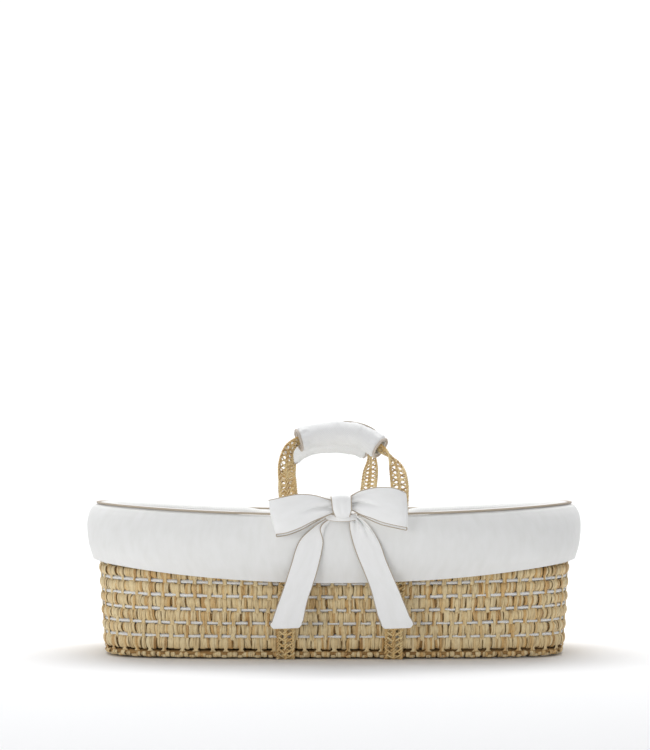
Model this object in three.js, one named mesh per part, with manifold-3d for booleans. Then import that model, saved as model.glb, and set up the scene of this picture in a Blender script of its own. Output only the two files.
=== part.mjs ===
// A moses basket: a coiled palm basket with two soft carrying handles, a padded cover tied on
// with bows, a mattress and a quilt. Millimetres, +Z up. X runs along the basket with the head
// at +X, and the origin is on the ground under the middle.

import * as THREE from 'three';
import Module from 'manifold-3d';
import { mergeVertices } from 'three/addons/utils/BufferGeometryUtils.js';

// Clearance between pieces that rest on each other.
const GAP = 0.3;

// The plan of every ring is an oval, |x/a|^p + |y/b|^p = 1, squarer at the foot than at the rim.
const FOOT_POWER = 4.5;
const RIM_POWER = 2.5;
const RING_STEPS = 52;

// Basket wall: coils stacked from the foot to the rim, measured on the coils' middle line.
const FOOT_HALF_LENGTH = 380;
const FOOT_HALF_WIDTH = 164;
const RIM_HALF_LENGTH = 400;
const RIM_HALF_WIDTH = 200;
const RIM_HEIGHT = 229;
const RIM_RISE = 17;
const COIL_COUNT = 10;
const COIL_THICKNESS = 12;
const FLOOR_THICKNESS = 12;

// Palm braid that passes under the basket and over each grip.
const BRAID_WIDTH = 30;
const BRAID_THICKNESS = 2.5;
const BRAID_GATHERED_WIDTH = 24;

// Handles. A hinge line stands just above the rim on each long side.
const HINGE_Y = 207;
const HINGE_HEIGHT = 237;
// Where a handle's legs stand along the basket, seen from its own side, and its lean in degrees.
const FRONT_HANDLE = { left: -71, right: 103, lean: 34 };
const BACK_HANDLE = { left: -60, right: 84, lean: 40 };
const GRIP_RADIUS = 20;
const GRIP_END_RADIUS = 16.5;
const SNAP_RADIUS = 6;
const SNAP_SPACING = 84;
// Degrees round the grip from its outermost line, positive towards the bed.
const SNAP_ANGLE = 24;
const FLAP_ANGLE = -2;

// Fabric cover.
const PIPING_RADIUS = 2;
const PIPING_HALF_LENGTH = 404;
const PIPING_HALF_WIDTH = 216;
const PIPING_HEIGHT = 234;
const SKIRT_THICKNESS = 2.2;
const SLIT_HALF_LENGTH = 120;
const SLIT_Y = 204.2;

// Bedding.
const MATTRESS_HALF_LENGTH = 353;
const MATTRESS_HALF_WIDTH = 143;
const MATTRESS_CLEARANCE = 5;
const MATTRESS_TOP = 54.5;
const SHEET_THICKNESS = 1.2;
const QUILT_THICKNESS = 13;
const QUILT_HALF_WIDTH = 146;
const QUILT_FOOT_X = -352;
const QUILT_HEAD_X = 131;
const FLAP_FOOT_X = -21;
const FLAP_THICKNESS = 11;
const TRIM_START_X = 22;
const TRIM_WIDTH = 41;

// Bows, placed on each long side just outside the piping.
const RIBBON_WIDTH = 49;
const RIBBON_THICKNESS = 2.5;
const BOW_X = 11;
const BOW_Y = -240;
// Height of a bow's knot, and how far its two loops droop, in degrees.
const FRONT_BOW = { height: 248, leftDroop: 9.5, rightDroop: 2 };
const BACK_BOW = { height: 240, leftDroop: 12, rightDroop: 11 };
const KNOT_HALF_SIZE = [15, 14, 17];
const LOOP_LENGTH = 96;
const LOOP_DEPTH = 26;

const palm = (color) => new THREE.MeshStandardMaterial({ color, roughness: 0.7, metalness: 0 });
const cloth = (color) => new THREE.MeshStandardMaterial({ color, roughness: 0.9, metalness: 0 });
const COIL_COLOURS = [0xcaa66c, 0xc39d62, 0xd0ad74];
const BRAID_COLOUR = 0xb8935a;
const WHITE = 0xf2f1ee;
const QUILT_WHITE = 0xf6f5f2;
const BEIGE = 0xc3b8a8;
const FOAM = 0xe9e3cf;

const wasm = await Module();
wasm.setup();

function named(name, geometry, material) {
  const mesh = new THREE.Mesh(geometry, material);
  mesh.name = name;
  return mesh;
}

function toSolid(geometry) {
  const shape = geometry.clone();
  shape.deleteAttribute('normal');
  shape.deleteAttribute('uv');
  const merged = mergeVertices(shape, 1e-3);
  const mesh = new wasm.Mesh({
    numProp: 3,
    vertProperties: new Float32Array(merged.attributes.position.array),
    triVerts: new Uint32Array(merged.index.array),
  });
  mesh.merge();
  return new wasm.Manifold(mesh);
}

function toGeometry(solid) {
  const mesh = solid.getMesh();
  const geometry = new THREE.BufferGeometry();
  geometry.setAttribute('position', new THREE.BufferAttribute(mesh.vertProperties, 3));
  geometry.setIndex(new THREE.BufferAttribute(mesh.triVerts, 1));
  geometry.computeVertexNormals();
  return geometry;
}

const WALL_FOOT = BRAID_THICKNESS + GAP + FLOOR_THICKNESS + GAP;

/** How far up the wall a height is, from 0 at the foot to 1 at the rim. */
function wallShare(height) {
  return (height - WALL_FOOT) / (RIM_HEIGHT - WALL_FOOT);
}

function planPower(height) {
  const share = THREE.MathUtils.clamp(wallShare(height), 0, 1);
  return FOOT_POWER + (RIM_POWER - FOOT_POWER) * share;
}

/** The point of an outline's oval at an angle round the basket. */
function ovalPoint(turn, outline) {
  const along = Math.cos(turn);
  const across = Math.sin(turn);
  const power = 2 / planPower(outline.height);
  return [
    outline.length * Math.sign(along) * Math.abs(along) ** power,
    outline.width * Math.sign(across) * Math.abs(across) ** power,
  ];
}

/** Half width of an outline's oval at a place along the basket. */
function ovalY(x, outline) {
  const power = planPower(outline.height);
  return outline.width * (1 - Math.abs(x / outline.length) ** power) ** (1 / power);
}

/** How far the rim stands above its lowest point, in the middle of the long side. */
function rimRise(x) {
  return RIM_RISE * (x / RIM_HALF_LENGTH) ** 2;
}

/** One point of a ring's outline; `rise` is its share of the rim's rise towards the ends. */
function outlinePoint(length, width, height, rise) {
  return { length, width, height, rise };
}

/** The wall's middle line at a height, moved outwards by `out`. */
function wallPoint(height, out) {
  const share = wallShare(height);
  return outlinePoint(
    FOOT_HALF_LENGTH + (RIM_HALF_LENGTH - FOOT_HALF_LENGTH) * share + out,
    FOOT_HALF_WIDTH + (RIM_HALF_WIDTH - FOOT_HALF_WIDTH) * share + out,
    height,
    share,
  );
}

/** Turns an outline round the basket: a lathe whose circles are drawn out to the oval plan. */
function ovalRing(outline) {
  const profile = outline.map((point) => new THREE.Vector2(point.length, point.height));
  const ring = new THREE.LatheGeometry(profile, RING_STEPS);
  const at = ring.attributes.position;
  for (let i = 0; i < at.count; i += 1) {
    const point = outline[i % outline.length];
    const step = Math.floor(i / outline.length) % RING_STEPS;
    const [x, y] = ovalPoint((step / RING_STEPS) * 2 * Math.PI, point);
    at.setXYZ(i, x, y, point.height + point.rise * rimRise(x));
  }
  return ring;
}

/** A ring whose outline is a closed loop of points. */
function closedRing(points) {
  return ovalRing([...points, points[0]]);
}

/** A low oval cushion with a rounded edge, solid from side to side. */
function ovalPad(halfLength, halfWidth, bottom, thickness, inset) {
  const top = bottom + thickness;
  return ovalRing([
    outlinePoint(0, 0, bottom, 0),
    outlinePoint(halfLength - inset, halfWidth - inset, bottom, 0),
    outlinePoint(halfLength, halfWidth, bottom + thickness * 0.5, 0),
    outlinePoint(halfLength - inset, halfWidth - inset, top, 0),
    outlinePoint(0, 0, top, 0),
  ]);
}

/** The part of an oval cushion between two places along the basket. */
function padSlice(pad, startX, endX) {
  const block = new THREE.BoxGeometry(endX - startX, 1000, 1000);
  block.translate((startX + endX) / 2, 0, 0);
  return toGeometry(toSolid(pad).intersect(toSolid(block)));
}

/**
 * Bends a bar of unit length and section, built along Z, to follow stations.
 * A station has a middle, side and face vectors across the bar, and its size along both.
 */
function bend(bar, stations) {
  const steps = stations.length - 1;
  const at = bar.attributes.position;
  for (let i = 0; i < at.count; i += 1) {
    const station = stations[Math.round((at.getZ(i) + 0.5) * steps)];
    const point = station.middle.clone();
    point.addScaledVector(station.side, at.getX(i) * station.width);
    point.addScaledVector(station.face, at.getY(i) * station.thickness);
    at.setXYZ(i, point.x, point.y, point.z);
  }
  return bar;
}

function stripBar(stations) {
  const steps = stations.length - 1;
  return bend(new THREE.BoxGeometry(1, 1, 1, 1, 1, steps), stations);
}

function roundBar(stations, sides) {
  const bar = new THREE.CylinderGeometry(0.5, 0.5, 1, sides, stations.length - 1);
  bar.rotateX(Math.PI / 2);
  return bend(bar, stations);
}

/** Stations along a curve; `look` gives each one's side vector, width and thickness. */
function stationsAlong(curve, start, end, steps, look) {
  return Array.from({ length: steps + 1 }, (_, i) => {
    const t = start + ((end - start) * i) / steps;
    const tangent = curve.getTangent(t);
    const { side, width, thickness } = look(t, tangent);
    const across = side.clone().addScaledVector(tangent, -side.dot(tangent)).normalize();
    const face = tangent.clone().cross(across);
    return { middle: curve.getPoint(t), side: across, face, width, thickness };
  });
}

function curveThrough(points) {
  return new THREE.CatmullRomCurve3(points.map(([x, y, z]) => new THREE.Vector3(x, y, z)));
}

// Basket

function basketFloor() {
  const bottom = BRAID_THICKNESS + GAP;
  const edge = COIL_THICKNESS / 2;
  const pad = ovalPad(FOOT_HALF_LENGTH + edge, FOOT_HALF_WIDTH + edge, bottom, FLOOR_THICKNESS, edge);
  return named('basket_floor', pad, palm(COIL_COLOURS[1]));
}

/** One coil of the wall: a ring with a six-sided section that is flat where coils rest. */
function wallCoil(index) {
  const pitch = (RIM_HEIGHT - WALL_FOOT) / COIL_COUNT;
  const middle = WALL_FOOT + pitch * (index - 0.5);
  const up = (pitch - GAP) / 2;
  const out = COIL_THICKNESS / 2;
  const corners = [[1, 0], [0.5, 1], [-0.5, 1], [-1, 0], [-0.5, -1], [0.5, -1]];
  const ring = closedRing(corners.map(([x, z]) => wallPoint(middle + z * up, x * out)));
  const name = index === COIL_COUNT ? 'rim_coil' : `wall_coil_${String(index).padStart(2, '0')}`;
  return named(name, ring, palm(COIL_COLOURS[index % COIL_COLOURS.length]));
}

/** A braid strap: down one wall from the rim, under the floor and up the other wall. */
function strap(name, frontX, frontFootX, backFootX, backX) {
  const half = BRAID_THICKNESS / 2;
  const foot = WALL_FOOT - FLOOR_THICKNESS / 2;
  const topZ = HINGE_HEIGHT - 3.4;
  const wallY = (x, height) => {
    const wall = wallPoint(height, COIL_THICKNESS / 2 + GAP + half + 0.5);
    return ovalY(Math.max(Math.abs(x) - BRAID_WIDTH / 2, 0), wall);
  };
  const side = (sign, topX, footX) => [
    [topX, sign * wallY(topX, RIM_HEIGHT), topZ],
    [topX, sign * wallY(topX, RIM_HEIGHT - 8), RIM_HEIGHT - 8],
    [(topX + footX) / 2, sign * wallY(footX, RIM_HEIGHT / 2), RIM_HEIGHT / 2],
    [footX, sign * wallY(footX, foot + 12), foot + 12],
    [footX, sign * wallY(footX, foot), foot - 2],
    [footX, sign * (wallY(footX, foot) - 5), half + 0.3],
    [footX, sign * (wallY(footX, foot) - 9), half],
  ];
  const front = side(-1, frontX, frontFootX);
  const back = side(1, backX, backFootX).reverse();
  const curve = new THREE.CurvePath();
  const points = [...front, ...back].map(([x, y, z]) => new THREE.Vector3(x, y, z));
  points.slice(1).forEach((point, i) => curve.add(new THREE.LineCurve3(points[i], point)));
  const stations = points.map((middle, i) => {
    const before = points[Math.max(i - 1, 0)];
    const after = points[Math.min(i + 1, points.length - 1)];
    const tangent = after.clone().sub(before).normalize();
    const along = new THREE.Vector3(1, 0, 0).addScaledVector(tangent, -tangent.x).normalize();
    const face = tangent.clone().cross(along);
    return { middle, side: along, face, width: BRAID_WIDTH, thickness: BRAID_THICKNESS };
  });
  return named(name, stripBar(stations), palm(BRAID_COLOUR));
}

// Cover

/** The padded inner side: up the inside of the wall, over the rim, and out to the piping. */
function linerBumper() {
  const clear = COIL_THICKNESS / 2 + 0.6;
  const lipInner = wallPoint(RIM_HEIGHT - 3, -clear);
  const lipLength = PIPING_HALF_LENGTH - PIPING_RADIUS - GAP - 0.3;
  const lipWidth = PIPING_HALF_WIDTH - PIPING_RADIUS - GAP - 0.3;
  const over = RIM_HEIGHT + GAP + 0.2;
  const bedLength = MATTRESS_HALF_LENGTH + MATTRESS_CLEARANCE;
  const bedWidth = MATTRESS_HALF_WIDTH + MATTRESS_CLEARANCE;
  const ring = closedRing([
    lipInner,
    outlinePoint(lipInner.length, lipInner.width, over, 1),
    outlinePoint(lipLength, lipWidth, over, 1),
    outlinePoint(lipLength, lipWidth, over + 3, 1),
    outlinePoint(388, 192, over + 4, 1),
    outlinePoint(375, 180, RIM_HEIGHT - 7, 1),
    outlinePoint(365, 165, 150, 0.6),
    outlinePoint(bedLength, bedWidth, MATTRESS_TOP + 6, 0.1),
    outlinePoint(bedLength, bedWidth, WALL_FOOT + 2, 0),
    wallPoint(WALL_FOOT + 2, -clear),
  ]);
  return named('liner_bumper', cutSlits(ring), cloth(WHITE));
}

/** Opens the cover beside the rim on both long sides, where the braid comes up. */
function cutSlits(ring) {
  const depth = 20;
  const slot = new THREE.BoxGeometry(2 * SLIT_HALF_LENGTH, depth, 40);
  const front = slot.clone().translate(0, -SLIT_Y - depth / 2, RIM_HEIGHT + GAP + 20);
  const back = slot.clone().translate(0, SLIT_Y + depth / 2, RIM_HEIGHT + GAP + 20);
  return toGeometry(toSolid(ring).subtract(toSolid(front)).subtract(toSolid(back)));
}

function rimPiping() {
  const sides = 6;
  const points = Array.from({ length: sides }, (_, i) => {
    const turn = (i / sides) * 2 * Math.PI;
    const out = PIPING_RADIUS * Math.cos(turn);
    const height = PIPING_HEIGHT + PIPING_RADIUS * Math.sin(turn);
    return outlinePoint(PIPING_HALF_LENGTH + out, PIPING_HALF_WIDTH + out, height, 1);
  });
  return named('rim_piping', closedRing(points), cloth(BEIGE));
}

/** The smooth outer side: swells out below the piping and is drawn in at its hem. */
function linerSkirt() {
  const drop = [
    { down: 3, ends: 0, sides: 0, rise: 1 },
    { down: 8, ends: 8, sides: 4, rise: 1 },
    { down: 22, ends: 14, sides: 7, rise: 1.05 },
    { down: 46, ends: 16, sides: 7.5, rise: 1.3 },
    { down: 80, ends: 12, sides: 1, rise: 1.6 },
    { down: 109, ends: 4, sides: -13, rise: 1.95 },
  ];
  const line = (inset) => drop.map(({ down, ends, sides, rise }) => outlinePoint(
    PIPING_HALF_LENGTH + ends - inset,
    PIPING_HALF_WIDTH + sides - inset,
    PIPING_HEIGHT - down,
    rise,
  ));
  const ring = closedRing([...line(SKIRT_THICKNESS), ...line(0).reverse()]);
  return named('liner_skirt', ring, cloth(WHITE));
}

// Bedding

function mattressFoam() {
  const inset = SHEET_THICKNESS + GAP;
  const bottom = WALL_FOOT + 0.5;
  const pad = ovalPad(
    MATTRESS_HALF_LENGTH - inset,
    MATTRESS_HALF_WIDTH - inset,
    bottom,
    MATTRESS_TOP - inset - bottom,
    5,
  );
  return named('mattress_foam', pad, cloth(FOAM));
}

/** The fitted sheet: a thin cap over the foam, open underneath. */
function fittedSheet() {
  const bottom = WALL_FOOT + 3;
  const corner = 5;
  const middle = MATTRESS_TOP - 20;
  const line = (inset) => {
    const length = MATTRESS_HALF_LENGTH - inset;
    const width = MATTRESS_HALF_WIDTH - inset;
    return [
      outlinePoint(0, 0, MATTRESS_TOP - inset, 0),
      outlinePoint(length - corner, width - corner, MATTRESS_TOP - inset, 0),
      outlinePoint(length, width, middle, 0),
      outlinePoint(length, width, bottom, 0),
    ];
  };
  const ring = ovalRing([...line(SHEET_THICKNESS), ...line(0).reverse()]);
  return named('fitted_sheet', ring, cloth(WHITE));
}

const QUILT_BOTTOM = MATTRESS_TOP + GAP;
const FLAP_BOTTOM = QUILT_BOTTOM + QUILT_THICKNESS + GAP;
const FLAP_TOP = FLAP_BOTTOM + FLAP_THICKNESS;

function quiltPad(bottom, thickness, inset) {
  return ovalPad(-QUILT_FOOT_X, QUILT_HALF_WIDTH, bottom, thickness, inset);
}

function quiltBody() {
  const body = padSlice(quiltPad(QUILT_BOTTOM, QUILT_THICKNESS, 4), QUILT_FOOT_X - 1, QUILT_HEAD_X);
  return named('quilt_body', body, cloth(QUILT_WHITE));
}

/** The head end of the quilt, folded back over itself. */
function quiltFlap() {
  const flap = padSlice(quiltPad(FLAP_BOTTOM, FLAP_THICKNESS, 4), FLAP_FOOT_X, QUILT_HEAD_X);
  return named('quilt_flap', flap, cloth(QUILT_WHITE));
}

function chevronTrim() {
  const pad = ovalPad(-QUILT_FOOT_X - 6, QUILT_HALF_WIDTH - 6, FLAP_TOP + GAP, 1.2, 0.6);
  const trim = padSlice(pad, TRIM_START_X, TRIM_START_X + TRIM_WIDTH);
  return named('chevron_trim', trim, cloth(BEIGE));
}

/** A cord sewn across the quilt. */
function crossPiping(name, x, bottom, radius) {
  const half = ovalY(x, outlinePoint(-QUILT_FOOT_X, QUILT_HALF_WIDTH, bottom, 0)) - 7;
  const cord = new THREE.CylinderGeometry(radius, radius, 2 * half, 8);
  cord.translate(x, 0, bottom + radius);
  return named(name, cord, cloth(BEIGE));
}

function quiltPiping() {
  const flap = 1.6;
  const edge = 1.1;
  return [
    crossPiping('flap_piping', FLAP_FOOT_X - flap - GAP, FLAP_BOTTOM, flap),
    crossPiping('trim_piping_foot', TRIM_START_X - edge - GAP, FLAP_TOP + GAP, edge),
    crossPiping('trim_piping_head', TRIM_START_X + TRIM_WIDTH + edge + GAP, FLAP_TOP + GAP, edge),
  ];
}

// Handles, drawn in their own plane: X along the basket, Z away from the hinge line.

const GRIP_START = 4 / 11;
const GRIP_END = 8 / 11;

/** The handle's line: two legs and the flatter arch that carries the grip. */
function handleCurve({ left, right }) {
  return curveThrough([
    [left, 0, 0],
    [left - 4, 0, 48],
    [left - 7, 0, 92],
    [Math.min(left - 2, -66), 0, 124],
    [-57, 0, 142],
    [-30, 0, 152],
    [8, 0, 157],
    [45, 0, 150],
    [74, 0, 127],
    [right - 7, 0, 104],
    [right + 2, 0, 60],
    [right, 0, 0],
  ]);
}

const NORMAL = new THREE.Vector3(0, 1, 0);

/** The braid faces the hand at the grip and turns a quarter twist down each leg. */
function braidLook(t, tangent) {
  const fromGrip = Math.max(1 - t / GRIP_START, (t - GRIP_END) / (1 - GRIP_END), 0);
  const twist = THREE.MathUtils.smoothstep(fromGrip, 0, 0.75) * (Math.PI / 2);
  const inPlane = NORMAL.clone().cross(tangent);
  const turn = t < 0.5 ? twist : -twist;
  const side = NORMAL.clone().multiplyScalar(Math.cos(turn)).addScaledVector(inPlane, Math.sin(turn));
  const width = THREE.MathUtils.lerp(BRAID_GATHERED_WIDTH, BRAID_WIDTH, Math.min(fromGrip * 2, 1));
  return { side, width, thickness: BRAID_THICKNESS };
}

function gripRadius(t) {
  const share = (t - GRIP_START) / (GRIP_END - GRIP_START);
  return GRIP_END_RADIUS + (GRIP_RADIUS - GRIP_END_RADIUS) * Math.sin(Math.PI * share) ** 0.7;
}

/** The grip's own direction, which stays flatter than the braid's at its two ends. */
function gripTangent(curve, t) {
  return curve.getTangent(THREE.MathUtils.clamp(t, GRIP_START + 0.04, GRIP_END - 0.04));
}

function handleBraid(name, curve) {
  const stations = stationsAlong(curve, 0, 1, 40, braidLook);
  return named(name, stripBar(stations), palm(BRAID_COLOUR));
}

/** The padded wrap round the braid, hollow where the braid runs through it. */
function gripWrap(name, curve) {
  const outside = stationsAlong(curve, GRIP_START, GRIP_END, 16, (t) => {
    const size = 2 * gripRadius(THREE.MathUtils.clamp(t, GRIP_START, GRIP_END));
    return { side: NORMAL, width: size, thickness: size };
  });
  outside.forEach((station, i) => {
    const t = GRIP_START + ((GRIP_END - GRIP_START) * i) / 16;
    station.face = gripTangent(curve, t).cross(NORMAL);
  });
  const inside = stationsAlong(curve, GRIP_START - 0.02, GRIP_END + 0.02, 44, (t, tangent) => {
    const look = braidLook(t, tangent);
    return { side: look.side, width: BRAID_GATHERED_WIDTH + 3, thickness: BRAID_THICKNESS + 1.2 };
  });
  const wrap = toSolid(roundBar(outside, 12)).subtract(toSolid(stripBar(inside)));
  return named(name, toGeometry(wrap), cloth(WHITE));
}

/** A piped ring round one end of the wrap. */
function gripEndPiping(name, curve, t, outward) {
  const radius = 2.2;
  const ring = new THREE.TorusGeometry(GRIP_END_RADIUS - 0.5, radius, 6, 16);
  const tangent = gripTangent(curve, t);
  const mesh = named(name, ring, cloth(BEIGE));
  mesh.quaternion.setFromUnitVectors(new THREE.Vector3(0, 0, 1), tangent);
  mesh.position.copy(curve.getPoint(t)).addScaledVector(tangent, outward * (radius + GAP));
  return mesh;
}

/** Direction away from the curve, turned from the plane's outer side towards the basket. */
function radialAt(curve, t, degrees) {
  const outer = gripTangent(curve, t).cross(NORMAL);
  const angle = THREE.MathUtils.degToRad(degrees);
  return outer.multiplyScalar(Math.cos(angle)).addScaledVector(NORMAL, Math.sin(angle));
}

/** The piped edge of the wrap's flap, which runs along its outer side. */
function gripFlapPiping(name, curve) {
  const radius = 1.6;
  const stations = stationsAlong(curve, GRIP_START + 0.02, GRIP_END - 0.02, 16, () => (
    { side: NORMAL, width: 2 * radius, thickness: 2 * radius }
  ));
  stations.forEach((station, i) => {
    const t = GRIP_START + 0.02 + ((GRIP_END - GRIP_START - 0.04) * i) / 16;
    station.middle.addScaledVector(radialAt(curve, t, FLAP_ANGLE), gripRadius(t) + radius + GAP);
  });
  return named(name, roundBar(stations, 6), cloth(BEIGE));
}

/** A press stud on the wrap's outer face. */
function gripSnap(name, curve, offset) {
  const perUnit = 393;
  const t = (GRIP_START + GRIP_END) / 2 + offset / perUnit;
  const height = 2;
  const mesh = named(name, new THREE.CylinderGeometry(SNAP_RADIUS, SNAP_RADIUS, height, 16), cloth(BEIGE));
  const direction = radialAt(curve, t, SNAP_ANGLE);
  mesh.quaternion.setFromUnitVectors(new THREE.Vector3(0, 1, 0), direction);
  mesh.position.copy(curve.getPoint(t));
  mesh.position.addScaledVector(direction, gripRadius(t) + height / 2 + GAP + 0.4);
  return mesh;
}

function handle(side, place) {
  const curve = handleCurve(place);
  const group = new THREE.Group();
  group.position.set(0, -HINGE_Y, HINGE_HEIGHT);
  group.rotation.x = -THREE.MathUtils.degToRad(place.lean);
  group.add(
    handleBraid(`${side}_handle_braid`, curve),
    gripWrap(`${side}_grip_wrap`, curve),
    gripEndPiping(`${side}_grip_piping_left`, curve, GRIP_START, -1),
    gripEndPiping(`${side}_grip_piping_right`, curve, GRIP_END, 1),
    gripFlapPiping(`${side}_flap_piping`, curve),
    gripSnap(`${side}_snap_left`, curve, -SNAP_SPACING / 2),
    gripSnap(`${side}_snap_right`, curve, SNAP_SPACING / 2),
  );
  return group;
}

// Bows

/** One bow loop: a flat ribbon that runs out from the knot and back, its gap left open. */
function bowLoop(name, height, direction, droopDegrees) {
  const teardrop = (path, start, length, half) => {
    path.moveTo(start, -half * 0.25);
    path.bezierCurveTo(length * 0.4, -half, length, -half * 1.3, length, 0);
    path.bezierCurveTo(length, half * 1.3, length * 0.4, half, start, half * 0.25);
    path.lineTo(start, -half * 0.25);
    return path;
  };
  const outline = teardrop(new THREE.Shape(), 0, LOOP_LENGTH, LOOP_DEPTH / 2);
  const inner = LOOP_DEPTH / 2 - RIBBON_THICKNESS * 1.1;
  outline.holes.push(teardrop(new THREE.Path(), 9, LOOP_LENGTH - RIBBON_THICKNESS, inner));
  const options = { depth: RIBBON_WIDTH, bevelEnabled: false, curveSegments: 9 };
  const loop = new THREE.ExtrudeGeometry(outline, options);
  loop.translate(KNOT_HALF_SIZE[0] + 1, 0, -RIBBON_WIDTH / 2);
  if (direction < 0) {
    loop.rotateZ(Math.PI);
  }
  loop.rotateY(direction * THREE.MathUtils.degToRad(droopDegrees));
  loop.translate(BOW_X, BOW_Y, height);
  return named(name, loop, cloth(WHITE));
}

function bowKnot(name, height) {
  const knot = new THREE.SphereGeometry(1, 14, 9);
  knot.scale(...KNOT_HALF_SIZE);
  knot.translate(BOW_X, BOW_Y, height);
  return named(name, knot, cloth(WHITE));
}

/** One tail: a flat ribbon that hangs from the knot over the skirt, clear of the wall below. */
function bowTail(name, points) {
  const curve = curveThrough(points);
  const outward = new THREE.Vector3(0, -1, 0);
  const stations = stationsAlong(curve, 0, 1, 14, (t, tangent) => ({
    side: outward.clone().cross(tangent),
    width: THREE.MathUtils.lerp(16, RIBBON_WIDTH, THREE.MathUtils.smoothstep(t, 0, 0.45)),
    thickness: RIBBON_THICKNESS,
  }));
  return named(name, stripBar(stations), cloth(WHITE));
}

function bow(side, { height, leftDroop, rightDroop }) {
  const top = height - KNOT_HALF_SIZE[2];
  const leftTail = [[BOW_X - 9, -227, top], [-34, -227, 190], [-56, -227, 125], [-78, -227, 54]];
  const rightTail = [[BOW_X + 9, -227, top], [46, -227, 190], [74, -227, 125], [99, -227, 53]];
  return [
    bowLoop(`${side}_bow_loop_left`, height, -1, leftDroop),
    bowLoop(`${side}_bow_loop_right`, height, 1, rightDroop),
    bowKnot(`${side}_bow_knot`, height),
    bowTail(`${side}_bow_tail_left`, leftTail),
    bowTail(`${side}_bow_tail_right`, rightTail),
  ];
}

// The back of the basket is dressed much as the front is, turned half round.

function frontDressing() {
  const group = new THREE.Group();
  group.add(handle('front', FRONT_HANDLE), ...bow('front', FRONT_BOW));
  return group;
}

function backDressing() {
  const group = new THREE.Group();
  group.add(handle('back', BACK_HANDLE), ...bow('back', BACK_BOW));
  group.rotation.z = Math.PI;
  return group;
}

function basket() {
  const group = new THREE.Group();
  group.add(basketFloor());
  for (let index = 1; index <= COIL_COUNT; index += 1) {
    group.add(wallCoil(index));
  }
  group.add(strap('strap_left', FRONT_HANDLE.left, -79, -86, -BACK_HANDLE.right));
  group.add(strap('strap_right', FRONT_HANDLE.right, 95, 72, -BACK_HANDLE.left));
  group.add(linerBumper(), rimPiping(), linerSkirt());
  group.add(mattressFoam(), fittedSheet());
  group.add(quiltBody(), quiltFlap(), chevronTrim(), ...quiltPiping());
  group.add(frontDressing(), backDressing());
  return group;
}

export default basket();
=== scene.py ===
"""A moses basket: coiled palm basket, lace-braid handles with padded grips, a padded cotton cover
tied on with piped bows, a mattress and a folded quilt. Shapes are worked out in millimetres."""

import math
from math import pi

import bpy
import numpy as np
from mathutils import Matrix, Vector, noise


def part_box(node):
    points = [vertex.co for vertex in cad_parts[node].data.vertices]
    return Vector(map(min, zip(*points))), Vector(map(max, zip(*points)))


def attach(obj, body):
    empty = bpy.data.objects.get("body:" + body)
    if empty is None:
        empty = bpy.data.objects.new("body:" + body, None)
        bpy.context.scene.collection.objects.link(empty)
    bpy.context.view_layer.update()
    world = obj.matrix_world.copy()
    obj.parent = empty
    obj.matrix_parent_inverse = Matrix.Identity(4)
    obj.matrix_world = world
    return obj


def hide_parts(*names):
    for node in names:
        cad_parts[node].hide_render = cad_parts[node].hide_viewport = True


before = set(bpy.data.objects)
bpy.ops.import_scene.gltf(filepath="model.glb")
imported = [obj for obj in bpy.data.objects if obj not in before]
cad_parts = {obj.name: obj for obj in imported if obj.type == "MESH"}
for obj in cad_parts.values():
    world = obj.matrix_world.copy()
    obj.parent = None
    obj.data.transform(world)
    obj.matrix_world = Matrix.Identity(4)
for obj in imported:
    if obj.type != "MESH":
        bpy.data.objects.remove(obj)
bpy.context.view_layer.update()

MM = 0.001
UP = np.array([0, 0, 1])


def box_mm(node):
    low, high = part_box(node)
    return np.array(low) / MM, np.array(high) / MM


# Basket: the plan of every ring is an oval, squarer at the foot than at the rim.
FOOT_POWER = 4.5
RIM_POWER = 2.5
COIL_OUT = 6.0
FLOOR_LOW, FLOOR_HIGH = box_mm("basket_floor")
FOOT_HALF_LENGTH = FLOOR_HIGH[0] - COIL_OUT
FOOT_HALF_WIDTH = FLOOR_HIGH[1] - COIL_OUT
FLOOR_MIDDLE = (FLOOR_LOW[2] + FLOOR_HIGH[2]) / 2
WALL_FOOT = FLOOR_HIGH[2] + 0.3
RIM_HALF_LENGTH = 400.0
RIM_HALF_WIDTH = 200.0
RIM_HEIGHT = 229.0
RIM_RISE = 17.0
COIL_COUNT = 10
COIL_PITCH = (RIM_HEIGHT - WALL_FOOT) / COIL_COUNT
WRAP_PERIOD = 25.0

# Braid and handles.
BRAID_WIDTH = 30.0
TWIST_PITCH, LACE_PITCH = 9.0, 9.4
BRAID_GATHERED = 24.0
HINGE_Y = 207.0
HINGE_HEIGHT = 237.0
# Where each handle's legs stand, seen from its own side, and its lean over the bed in degrees.
HANDLES = {"front": (-71.0, 103.0, 34.0), "back": (-60.0, 84.0, 40.0)}
HANDLE_LENGTH = 393.0
# The shares of the handle's length between which the grip is wrapped.
GRIP_START, GRIP_END = 4 / 11, 8 / 11
GRIP_LENGTH = 150.0
GRIP_RADIUS = 20.0
GRIP_END_RADIUS = 16.5
SNAP_SPACING = 84.0
SNAP_ANGLE = 24.0
FLAP_ANGLE = -2.0

# Cover.
PIPING_LENGTH, PIPING_WIDTH, PIPING_HEIGHT = 404.0, 216.0, 234.0
SLIT_HALF_LENGTH = 120.0
SLIT_Y = 204.2
SKIRT_THICKNESS = 1.3
RIM_PIPING_RADIUS = 1.75

# Bedding.
MATTRESS_LENGTH = box_mm("fitted_sheet")[1][0]
MATTRESS_WIDTH = box_mm("fitted_sheet")[1][1]
MATTRESS_TOP = box_mm("fitted_sheet")[1][2]
QUILT_FOOT = box_mm("quilt_body")[0][0]
QUILT_HEAD = box_mm("quilt_body")[1][0]
QUILT_WIDTH = 146.0
FLAP_EDGE = box_mm("quilt_flap")[0][0]
FLAP_TOP = box_mm("quilt_flap")[1][2]
TRIM_START, TRIM_END = box_mm("chevron_trim")[0][0], box_mm("chevron_trim")[1][0]

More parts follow.
